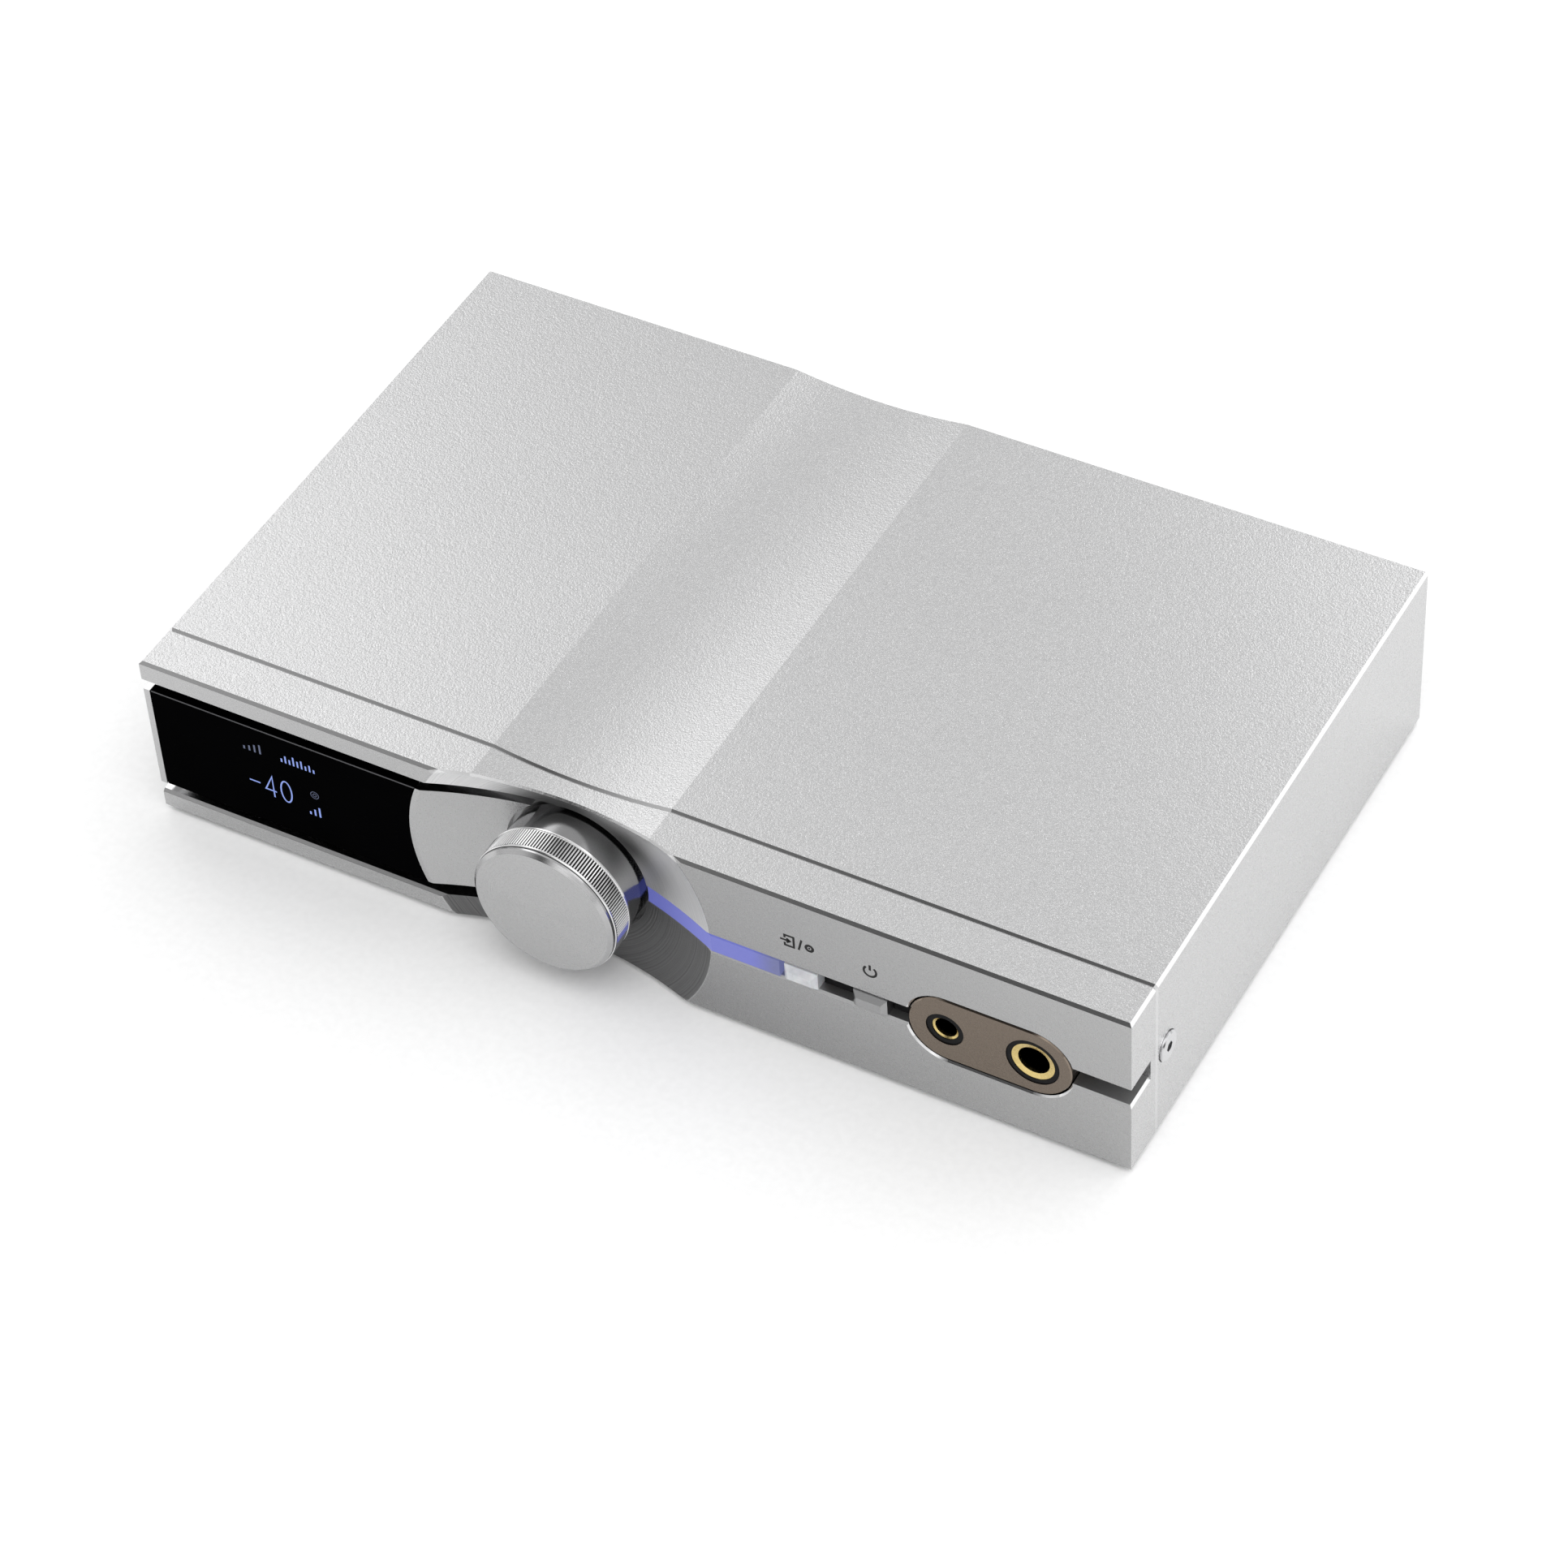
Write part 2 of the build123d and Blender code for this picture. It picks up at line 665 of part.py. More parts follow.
# ================================================================ headphone sockets
plate_face = 0.15
flange_back = 11.5
with BuildPart() as jack_plate:
    with BuildSketch(across(plate_face)):
        with Locations((plate_x, mid_z)):
            SlotCenterToCenter(plate_spacing, 2 * plate_radius)
    extrude(amount=-(panel_thickness - plate_face))
    plate_rim = jack_plate.faces().sort_by(Axis.Y)[0].edges()
    chamfer(plate_rim, length=0.25)
    with BuildSketch(across(panel_thickness)):
        with Locations((plate_x, mid_z)):
            SlotCenterToCenter(plate_spacing, 2 * (plate_radius + 1.6))
    extrude(amount=-(flange_back - panel_thickness))
    rod(balanced_x, mid_z, 3.9, -1, 13, mode=Mode.SUBTRACT)
    rod(standard_x, mid_z, 5.5, -1, 13, mode=Mode.SUBTRACT)
jack_plate.part.label = "jack_plate"
export_step(jack_plate.part, "parts/jack_plate.step")


def bush_section(x, bore, outer, mouth, face, cone, back):
    """Half-section of a plated socket bush with a conical mouth."""
    with BuildSketch(Plane.XY.offset(mid_z)) as section:
        with BuildLine():
            Polyline(
                (x + mouth, at(face)),
                (x + outer, at(face)),
                (x + outer, at(back)),
                (x + bore, at(back)),
                (x + bore, at(face + cone)),
                close=True,
            )
        make_face()
    return section.sketch


balanced_bore = 2.25
balanced_back = 24.0
with BuildPart() as balanced_jack_bush:
    revolve(
        bush_section(balanced_x, balanced_bore, 2.7, 2.6, 0.5, 0.25, balanced_back),
        axis=Axis((balanced_x, 0, mid_z), (0, 1, 0)),
    )
balanced_jack_bush.part.label = "balanced_jack_bush"
export_step(balanced_jack_bush.part, "parts/balanced_jack_bush.step")

with BuildPart() as balanced_jack_body:
    rod(balanced_x, mid_z, 3.82, 0.35, flange_back + 0.5)
    block(balanced_x - 6, balanced_x + 6, flange_back, 29.0, mid_z - 6.5, mid_z + 6.5)
    rod(balanced_x, mid_z, 2.73, 0, balanced_back, mode=Mode.SUBTRACT)
balanced_jack_body.part.label = "balanced_jack_body"
export_step(balanced_jack_body.part, "parts/balanced_jack_body.step")

standard_bore = 3.25
standard_back = 36.0
with BuildPart() as standard_jack_bush:
    revolve(
        bush_section(standard_x, standard_bore, 4.45, 4.3, 0.4, 0.35, standard_back),
        axis=Axis((standard_x, 0, mid_z), (0, 1, 0)),
    )
standard_jack_bush.part.label = "standard_jack_bush"
export_step(standard_jack_bush.part, "parts/standard_jack_bush.step")

with BuildPart() as standard_jack_body:
    rod(standard_x, mid_z, 5.42, 0.3, flange_back + 0.5)
    block(standard_x - 7.5, standard_x + 7.5, flange_back, 41.0, mid_z - 8.0, mid_z + 8.0)
    rod(standard_x, mid_z, 4.48, 0, standard_back, mode=Mode.SUBTRACT)
standard_jack_body.part.label = "standard_jack_body"
export_step(standard_jack_body.part, "parts/standard_jack_body.step")

pin_low = board_low - 0.8
with BuildPart() as jack_pins:
    for x, bottom, ds in (
        (balanced_x, mid_z - 6.5, (14.0, 20.0, 26.0)),
        (standard_x, mid_z - 8.0, (16.0, 27.0, 38.0)),
    ):
        for d in ds:
            for dx in (-3.5, 3.5):
                block(x + dx - 0.5, x + dx + 0.5, d - 0.25, d + 0.25, pin_low, bottom)
jack_pins.part.label = "jack_pins"
export_step(jack_pins.part, "parts/jack_pins.step")

with BuildPart() as jack_board:
    block(60.5, 97.0, 12.5, 23.0, board_low, board_top)
    for d in (14.0, 16.0, 20.0):
        for x in (balanced_x, standard_x):
            for dx in (-3.5, 3.5):
                block(x + dx - 0.6, x + dx + 0.6, d - 0.35, d + 0.35, 7, 11, mode=Mode.SUBTRACT)
jack_board.part.label = "jack_board"
export_step(jack_board.part, "parts/jack_board.step")

# ================================================================ main board
with BuildPart() as main_board:
    block(-board_half_x, board_half_x, board_front, board_back, board_low, board_top)
    for x, d in standoff_places:
        post(x, d, 1.7, 7, 11, mode=Mode.SUBTRACT)
    for x, ds in ((balanced_x, (26.0,)), (standard_x, (27.0, 38.0))):
        for d in ds:
            for dx in (-3.5, 3.5):
                block(x + dx - 0.6, x + dx + 0.6, d - 0.35, d + 0.35, 7, 11, mode=Mode.SUBTRACT)
    # two ribbon connectors at the front edge
    block(screen_x - 7, screen_x + 7, 26.0, 29.0, board_top, board_top + 2.8)
    block(2, 16, 26.0, 29.0, board_top, board_top + 1.5)
main_board.part.label = "main_board"
export_step(main_board.part, "parts/main_board.step")

with BuildPart() as board_standoffs:
    for x, d in standoff_places:
        with BuildSketch(Plane.XY.offset(inside_low)):
            with Locations((x, at(d))):
                RegularPolygon(3.2, 6)
                Circle(1.3, mode=Mode.SUBTRACT)
        extrude(amount=board_low - inside_low)
    for x in control_screw_xs:
        with BuildSketch(across(panel_thickness)):
            with Locations((x, control_screw_z)):
                RegularPolygon(3.2, 6)
                Circle(1.3, mode=Mode.SUBTRACT)
        extrude(amount=-(control_face - panel_thickness))
board_standoffs.part.label = "board_standoffs"
export_step(board_standoffs.part, "parts/board_standoffs.step")

with BuildPart() as board_screws:
    for x, d in standoff_places:
        post(x, d, 1.2, 4.6, board_top + 0.1)
        post(x, d, 2.8, board_top, board_top + 1.8)
        with BuildSketch(Plane.XY.offset(board_top + 1.8)):
            with Locations((x, at(d))):
                RegularPolygon(1.1, 6)
        extrude(amount=-1.1, mode=Mode.SUBTRACT)
    control_rear = control_face + board_thickness
    for x in control_screw_xs:
        rod(x, control_screw_z, 1.2, control_rear - 5.0, control_rear + 0.1)
        rod(x, control_screw_z, 2.8, control_rear, control_rear + 1.8)
        with BuildSketch(across(control_rear + 1.8)):
            with Locations((x, control_screw_z)):
                RegularPolygon(1.1, 6)
        extrude(amount=1.1, mode=Mode.SUBTRACT)
board_screws.part.label = "board_screws"
export_step(board_screws.part, "parts/board_screws.step")

with BuildPart() as filter_capacitors:
    for x in (36.0, 50.0):
        for d in (58.0, 72.0, 86.0):
            post(x, d, 5.0, board_top, board_top + 20.0)
    for x in (-10.0, 2.0, 14.0):
        for d in (50.0, 62.0):
            post(x, d, 4.0, board_top, board_top + 12.0)
    can_tops = filter_capacitors.edges().filter_by(GeomType.CIRCLE).filter_by_position(Axis.Z, board_top + 5, 40)
    chamfer(can_tops, length=0.5)
filter_capacitors.part.label = "filter_capacitors"
export_step(filter_capacitors.part, "parts/filter_capacitors.step")

with BuildPart() as board_chips:
    for x, d, half in ((-10.0, 82.0, 6.0), (12.0, 84.0, 4.5), (-42.0, 40.0, 3.5), (68.0, 100.0, 4.5)):
        block(x - half, x + half, d - half, d + half, board_top, board_top + 1.4)
    for x in (66.0, 78.0):
        for d in (56.0, 70.0):
            block(x - 4.0, x + 4.0, d - 3.0, d + 3.0, board_top, board_top + 2.2)
    for x in (-76.0, -60.0):
        for d in (56.0, 74.0):
            block(x - 5.0, x + 5.0, d - 5.0, d + 5.0, board_top, board_top + 1.4)
board_chips.part.label = "board_chips"
export_step(board_chips.part, "parts/board_chips.step")

with BuildPart() as relays:
    for x in (-66.0, -48.0):
        block(x - 5.0, x + 5.0, 98.5, 105.5, board_top, board_top + 9.0)
    block(78.0, 88.0, 46.5, 51.5, board_top, board_top + 9.0)
relays.part.label = "relays"
export_step(relays.part, "parts/relays.step")

with BuildPart() as wireless_module:
    block(-8.0, 10.0, 98.0, 112.0, board_top, board_top + 0.8)
    block(-6.0, 8.0, 99.0, 111.0, board_top + 0.8, board_top + 2.8)
wireless_module.part.label = "wireless_module"
export_step(wireless_module.part, "parts/wireless_module.step")

# ================================================================ rear panel
rear_screw_places = boss_places
with BuildPart() as rear_panel:
    block(
        -inside_x + 0.15, inside_x - 0.15, rear_inner, rear_outer,
        inside_low + 0.15, inside_high - 0.15,
    )
    for x, z in rear_screw_places:
        rod(x, z, 1.7, rear_inner - 1, rear_outer + 1, mode=Mode.SUBTRACT)
    for x in line_xs + (coax_x,):
        rod(x, rca_z, 4.9, rear_inner - 1, rear_outer + 1, mode=Mode.SUBTRACT)
    rod(dc_x, dc_z, 4.4, rear_inner - 1, rear_outer + 1, mode=Mode.SUBTRACT)
    rod(antenna_x, antenna_z, 3.35, rear_inner - 1, rear_outer + 1, mode=Mode.SUBTRACT)
    with BuildSketch(across(rear_inner - 1)):
        with Locations((usb_x, usb_z)):
            SlotOverall(9.5, 3.8)
    extrude(amount=-4, mode=Mode.SUBTRACT)
    block(
        optical_x - 5.0, optical_x + 5.0, rear_inner - 1, rear_outer + 1,
        board_top - 0.2, optical_z + 4.7, mode=Mode.SUBTRACT,
    )
rear_panel.part.label = "rear_panel"
export_step(rear_panel.part, "parts/rear_panel.step")

with BuildPart() as rear_panel_screws:
    for x, z in rear_screw_places:
        rod(x, z, 1.25, rear_outer - 9, rear_outer + 0.1)
        rod(x, z, 2.7, rear_outer, rear_outer + 1.6)
        with BuildSketch(across(rear_outer + 1.6)):
            with Locations((x, z)):
                RegularPolygon(1.1, 6)
        extrude(amount=1.1, mode=Mode.SUBTRACT)
rear_panel_screws.part.label = "rear_panel_screws"
export_step(rear_panel_screws.part, "parts/rear_panel_screws.step")

# ================================================================ phono sockets
rca_xs = line_xs + (coax_x,)
rca_radius = 4.15
with BuildPart() as rca_shells:
    for x in rca_xs:
        rod(x, rca_z, 4.75, rear_inner - 3.0, rear_outer + 0.9)
        rod(x, rca_z, rca_radius, rear_outer, connector_end)
    mouths = rca_shells.edges().filter_by(GeomType.CIRCLE).group_by(Axis.Y)[-1]
    chamfer(mouths, length=0.3)
    for x in rca_xs:
        rod(x, rca_z, 3.6, rear_inner - 4, connector_end + 1, mode=Mode.SUBTRACT)
rca_shells.part.label = "rca_shells"
export_step(rca_shells.part, "parts/rca_shells.step")

with BuildPart() as rca_inserts:
    for x in rca_xs:
        rod(x, rca_z, 3.56, rear_inner - 3.0, connector_end - 0.4)
        rod(x, rca_z, 1.95, rear_inner - 4, connector_end + 1, mode=Mode.SUBTRACT)
rca_inserts.part.label = "rca_inserts"
export_step(rca_inserts.part, "parts/rca_inserts.step")

with BuildPart() as rca_contacts:
    for x in rca_xs:
        rod(x, rca_z, 1.92, rear_inner - 5.0, connector_end - 0.8)
        rod(x, rca_z, 1.62, rear_inner - 3.5, connector_end + 1, mode=Mode.SUBTRACT)
rca_contacts.part.label = "rca_contacts"
export_step(rca_contacts.part, "parts/rca_contacts.step")

with BuildPart() as rca_housings:
    for x in rca_xs:
        block(x - 5.0, x + 5.0, rear_inner - 13.0, rear_inner - 0.1, board_top, rca_z + 5.0)
        rod(x, rca_z, 4.8, rear_inner - 5.2, rear_inner + 1, mode=Mode.SUBTRACT)
rca_housings.part.label = "rca_housings"
export_step(rca_housings.part, "parts/rca_housings.step")

# ================================================================ optical socket
flap_travel = 75
optical_back = rear_inner - 10.0
with BuildPart() as optical_socket:
    block(optical_x - 4.8, optical_x + 4.8, optical_back, rear_outer + 0.3, board_top, optical_z + 4.5)
    block(
        optical_x - 3.4, optical_x + 3.4, optical_back + 1.5, rear_outer + 1,
        optical_z - 3.4, optical_z + 3.4, mode=Mode.SUBTRACT,
    )
optical_socket.part.label = "optical_socket"
export_step(optical_socket.part, "parts/optical_socket.step")

hinge_depth = rear_outer - 0.7
hinge_z = optical_z + 2.85
with BuildPart() as optical_flap:
    block(
        optical_x - 3.1, optical_x + 3.1, hinge_depth - 0.3, hinge_depth + 0.3,
        optical_z - 3.1, hinge_z,
    )
    with Locations((optical_x, at(hinge_depth), hinge_z)):
        Cylinder(0.45, 6.2, rotation=(0, 90, 0))
optical_flap.part.label = "optical_flap"
export_step(optical_flap.part, "parts/optical_flap.step")

# ================================================================ usb socket
with BuildPart() as usb_shell:
    with BuildSketch(across(rear_inner - 5.5)):
        with Locations((usb_x, usb_z)):
            SlotOverall(8.94, 3.26)
    extrude(amount=-(rear_outer + 0.2 - rear_inner + 5.5))
    with BuildSketch(across(rear_inner - 5.0)):
        with Locations((usb_x, usb_z)):
            SlotOverall(8.34, 2.6)
    extrude(amount=-10, mode=Mode.SUBTRACT)
usb_shell.part.label = "usb_shell"
export_step(usb_shell.part, "parts/usb_shell.step")

with BuildPart() as usb_tongue:
    block(usb_x - 3.35, usb_x + 3.35, rear_inner - 5.0, rear_outer - 0.6, usb_z - 0.35, usb_z + 0.35)
    block(usb_x - 3.0, usb_x + 3.0, rear_inner - 5.0, rear_inner - 4.4, usb_z - 1.2, usb_z + 1.2)
usb_tongue.part.label = "usb_tongue"
export_step(usb_tongue.part, "parts/usb_tongue.step")

# ================================================================ power inlet
with BuildPart() as dc_inlet:
    rod(dc_x, dc_z, 4.25, rear_inner - 0.5, rear_outer + 0.4)
    block(dc_x - 4.5, dc_x + 4.5, rear_inner - 13.5, rear_inner - 0.1, board_top, dc_z + 5.2)
    rod(dc_x, dc_z, 3.2, rear_inner - 9.5, rear_outer + 1, mode=Mode.SUBTRACT)
dc_inlet.part.label = "dc_inlet"
export_step(dc_inlet.part, "parts/dc_inlet.step")

with BuildPart() as dc_pin:
    rod(dc_x, dc_z, 1.25, rear_inner - 9.5, rear_outer - 1.0)
    pin_tip = dc_pin.edges().filter_by(GeomType.CIRCLE).sort_by(Axis.Y)[-1]
    fillet(pin_tip, radius=0.6)
dc_pin.part.label = "dc_pin"
export_step(dc_pin.part, "parts/dc_pin.step")

# ================================================================ antenna socket
with BuildPart() as antenna_socket:
    rod(antenna_x, antenna_z, antenna_radius, rear_inner - 5.0, connector_end - 0.6)
    with BuildSketch(across(rear_inner - 2.0)):
        with Locations((antenna_x, antenna_z)):
            RegularPolygon(4.6, 6)
    extrude(amount=-2.0)
    with BuildSketch(across(rear_outer)):
        with Locations((antenna_x, antenna_z)):
            RegularPolygon(4.6, 6)
    extrude(amount=-1.8)
    rod(antenna_x, antenna_z, 2.1, rear_outer - 1, connector_end + 1, mode=Mode.SUBTRACT)
    # centre contact
    rod(antenna_x, antenna_z, 0.65, rear_outer - 1.0, connector_end - 2.0)
    rod(antenna_x, antenna_z, 0.35, rear_outer + 1, connector_end, mode=Mode.SUBTRACT)
antenna_socket.part.label = "antenna_socket"
export_step(antenna_socket.part, "parts/antenna_socket.step")

with BuildPart() as antenna_lead:
    with BuildLine() as lead_path:
        Spline(
            (antenna_x, at(rear_inner - 5.0), antenna_z),
            (antenna_x, at(rear_inner - 11.0), antenna_z + 1.5),
            (antenna_x - 1.0, at(112.0), board_top + 5.5),
            (antenna_x - 3.0, at(105.0), board_top + 3.5),
            tangents=[(0, -1, 0), (0, 0, -1)],
        )
    with BuildSketch(Plane(origin=lead_path.line @ 0, z_dir=lead_path.line % 0)):
        Circle(0.6)
    sweep()
antenna_lead.part.label = "antenna_lead"
export_step(antenna_lead.part, "parts/antenna_lead.step")
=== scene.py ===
import json
import math

import bmesh
import bpy
from mathutils import Matrix, Vector


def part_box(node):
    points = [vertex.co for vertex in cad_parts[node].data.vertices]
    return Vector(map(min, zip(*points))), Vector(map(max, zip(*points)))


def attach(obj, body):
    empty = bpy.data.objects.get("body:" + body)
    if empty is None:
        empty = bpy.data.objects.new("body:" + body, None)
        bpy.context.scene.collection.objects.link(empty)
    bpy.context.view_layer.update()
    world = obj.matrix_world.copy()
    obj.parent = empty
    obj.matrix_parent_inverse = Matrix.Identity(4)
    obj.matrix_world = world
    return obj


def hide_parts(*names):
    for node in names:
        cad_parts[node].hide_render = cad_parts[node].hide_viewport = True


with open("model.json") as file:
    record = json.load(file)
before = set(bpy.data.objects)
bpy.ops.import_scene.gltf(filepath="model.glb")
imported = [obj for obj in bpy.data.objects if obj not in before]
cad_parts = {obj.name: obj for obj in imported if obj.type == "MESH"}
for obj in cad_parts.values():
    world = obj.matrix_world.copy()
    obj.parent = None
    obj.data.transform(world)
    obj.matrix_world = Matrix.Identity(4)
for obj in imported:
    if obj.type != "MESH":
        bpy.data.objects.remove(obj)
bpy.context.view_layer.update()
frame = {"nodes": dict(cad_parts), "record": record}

MM = 0.001
NODES = frame["nodes"]
RECORD = frame["record"]

# ---------------------------------------------------------------- camera
CAMERA_AT = (0.36196, -0.59384, 0.69884)
CAMERA_RIGHT = (0.87574883, 0.48037953, -0.04795303)
CAMERA_UP = (-0.31296882, 0.64055353, 0.70124296)
CAMERA_LENS = 113.09

scene = bpy.context.scene
camera_data = bpy.data.cameras.new("camera")
camera_data.lens = CAMERA_LENS
camera_data.sensor_width = 36.0
camera_data.clip_start = 0.05
camera_data.clip_end = 20.0
camera = bpy.data.objects.new("camera", camera_data)
scene.collection.objects.link(camera)
scene.camera = camera
right, up = Vector(CAMERA_RIGHT).normalized(), Vector(CAMERA_UP).normalized()
back = right.cross(up).normalized()
turn = Matrix((right, up, back)).transposed().to_4x4()
camera.matrix_world = Matrix.Translation(CAMERA_AT) @ turn
scene.view_settings.view_transform = "Standard"
scene.view_settings.look = "None"


# ---------------------------------------------------------------- node helpers
def with_alpha(value):
    """A colour of three numbers gets its fourth; anything else is passed on."""
    return (*value, 1.0) if isinstance(value, tuple) and len(value) == 3 else value


class Shader:
    """A material's node tree, with short calls for the nodes that the finishes use."""

    def __init__(self, name):
        self.material = bpy.data.materials.new(name)
        self.material.use_nodes = True
        self.tree = self.material.node_tree
        self.tree.nodes.clear()
        self.output = self.tree.nodes.new("ShaderNodeOutputMaterial")
        self.bsdf = self.tree.nodes.new("ShaderNodeBsdfPrincipled")
        self.link(self.bsdf.outputs[0], self.output.inputs["Surface"])
        self.place = self.tree.nodes.new("ShaderNodeTexCoord").outputs["Object"]

    def link(self, a, b):
        self.tree.links.new(a, b)

    def put(self, socket, value):
        if isinstance(value, bpy.types.NodeSocket):
            self.link(value, socket)
        else:
            socket.default_value = value

    def set(self, **values):
        for key, value in values.items():
            socket = self.bsdf.inputs[key.replace("_", " ")]
            self.put(socket, with_alpha(value) if socket.type == "RGBA" else value)

    def noise(self, scale, detail=2.0, roughness=0.5, vector=None):
        node = self.tree.nodes.new("ShaderNodeTexNoise")
        node.inputs["Scale"].default_value = scale
        node.inputs["Detail"].default_value = detail
        node.inputs["Roughness"].default_value = roughness
        self.link(vector or self.place, node.inputs["Vector"])
        return node.outputs["Fac"]

    def cells(self, scale):
        node = self.tree.nodes.new("ShaderNodeTexVoronoi")
        node.inputs["Scale"].default_value = scale
        self.link(self.place, node.inputs["Vector"])
        return node.outputs["Color"]

    def stretch(self, factors):
        node = self.tree.nodes.new("ShaderNodeMapping")
        node.vector_type = "POINT"
        node.inputs["Scale"].default_value = factors
        self.link(self.place, node.inputs["Vector"])
        return node.outputs["Vector"]

    def times(self, a, b):
        return self.math("MULTIPLY", a, b)

    def plus(self, a, b):
        return self.math("ADD", a, b)

    def rest(self, a):
        """What is left of a mask: one minus it."""
        return self.math("SUBTRACT", 1.0, a)

    def math(self, kind, a, b=0.0, c=0.0, clamp=False):
        node = self.tree.nodes.new("ShaderNodeMath")
        node.operation = kind
        node.use_clamp = clamp
        for socket, value in zip(node.inputs, (a, b, c)):
            self.put(socket, value)
        return node.outputs[0]

    def vector_math(self, kind, a, b=(0, 0, 0)):
        node = self.tree.nodes.new("ShaderNodeVectorMath")
        node.operation = kind
        self.put(node.inputs[0], a)
        self.put(node.inputs[1], b)
        return node.outputs["Value" if kind in ("LENGTH", "DOT_PRODUCT") else "Vector"]

    def normal(self):
        """The surface normal in the object's own axes."""
        return self.tree.nodes.new("ShaderNodeTexCoord").outputs["Normal"]

    def axis(self, vector, letter):
        node = self.tree.nodes.new("ShaderNodeSeparateXYZ")
        self.put(node.inputs[0], vector)
        return node.outputs[letter]

    def span(self, value, low, high, to_low=0.0, to_high=1.0, smooth=False):
        node = self.tree.nodes.new("ShaderNodeMapRange")
        node.interpolation_type = "SMOOTHSTEP" if smooth else "LINEAR"
        self.put(node.inputs["Value"], value)
        node.inputs["From Min"].default_value = low
        node.inputs["From Max"].default_value = high
        node.inputs["To Min"].default_value = to_low
        node.inputs["To Max"].default_value = to_high
        return node.outputs["Result"]

    def mix(self, factor, a, b):
        node = self.tree.nodes.new("ShaderNodeMix")
        node.data_type = "RGBA"
        self.put(node.inputs["Factor"], factor)
        self.put(node.inputs[6], with_alpha(a))
        self.put(node.inputs[7], with_alpha(b))
        return node.outputs[2]

    def bump(self, height, strength, distance):
        node = self.tree.nodes.new("ShaderNodeBump")
        node.inputs["Strength"].default_value = strength
        node.inputs["Distance"].default_value = distance
        self.link(height, node.inputs["Height"])
        self.link(node.outputs[0], self.bsdf.inputs["Normal"])

    def ring_radius(self, centre):
        """Distance from the axis through centre that runs along Y."""
        local = self.vector_math("SUBTRACT", self.place, tuple(centre))
        flat = self.vector_math("MULTIPLY", local, (1.0, 0.0, 1.0))
        return self.vector_math("LENGTH", flat)


def shade(colour, factor):
    return tuple(min(1.0, c * factor) for c in colour)


# ---------------------------------------------------------------- places from the CAD
ring_low, ring_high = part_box("knob_ring")
KNOB = (ring_low + ring_high) / 2
case_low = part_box("case_sleeve")[0]
panel_low, panel_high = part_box("front_panel")
FRONT_Y = panel_low.y
TOP_Z = panel_high.z
DISH_RADIUS = 32.8 * MM
RING_RADIUS = (ring_high.x - ring_low.x) / 2
POCKET_TOP = TOP_Z - 4.5 * MM  # upper wall of the display pocket
SLOT_HALF = 3.0 * MM  # half the height of the light slot


# ---------------------------------------------------------------- finishes
POLISHED_ROUGHNESS = 0.12
DISH_LINES = 3200.0  # turning marks per metre of radius, as a noise scale
DISH_LINE_RELIEF = 1.6


def ring_lines(s, radius, pitch):
    """Coordinates that change only with the radius, for turning marks."""
    node = s.tree.nodes.new("ShaderNodeCombineXYZ")
    s.link(s.times(radius, pitch), node.inputs["X"])
    return node.outputs[0]


def paint_front_shade(s, body, colour, tone):
    """Painted shade on the panel's front face: darker than its top, most of all low down beside the dish,
    with a painted reflection that lightens its left part.
    """
    height, along = s.axis(s.place, "Z"), s.axis(s.place, "X")
    facing = s.span(s.axis(s.normal(), "Y"), -0.99, -0.8, 1.0, 0.0, smooth=True)
    upper = s.span(height, 3 * MM, 28 * MM, smooth=True)
    far = s.span(along, 12 * MM, 85 * MM)
    # painted shade: the front face darker low down and near the dish, lighter at the left as a painted
    # reflection
    low_front = s.mix(far, shade(colour, tone * 0.70), shade(colour, tone * 0.98))
    high_front = s.mix(far, shade(colour, tone * 0.84), shade(colour, tone))
    left_side = s.span(along, -30 * MM, -20 * MM, 1.0, 0.0)
    front = s.mix(left_side, s.mix(upper, low_front, high_front), shade(colour, tone * 1.1))
    return s.mix(facing, body, front)


def paint_dish_shade(s, body, colour, radius, inside, lines, tone):
    """Painted shade on the dish: a painted shadow in the knob's shelter above the axis, and a painted dark
    reflection, ringed with the turning marks, below the light strip.
    """
    height = s.axis(s.place, "Z")
    over = s.span(height, KNOB.z + 4 * MM, KNOB.z + 13 * MM, smooth=True)
    over = s.times(over, s.span(radius, 16.5 * MM, 25 * MM, 1.0, 0.0, smooth=True))
    # painted shadow on the dish near the barrel, above the knob's axis
    body = s.mix(s.times(over, inside), body, shade(colour, 0.32))
    # painted dark reflection on the dish below the light strip, ringed with the turning marks
    below = s.times(s.span(height, KNOB.z - 2.5 * MM, KNOB.z + 1 * MM, 1.0, 0.0), inside)
    painted_ringed_dark = s.mix(s.span(lines, 0.35, 0.65), shade(colour, tone * 0.8), shade(colour, tone * 1.25))
    return s.mix(below, body, painted_ringed_dark)


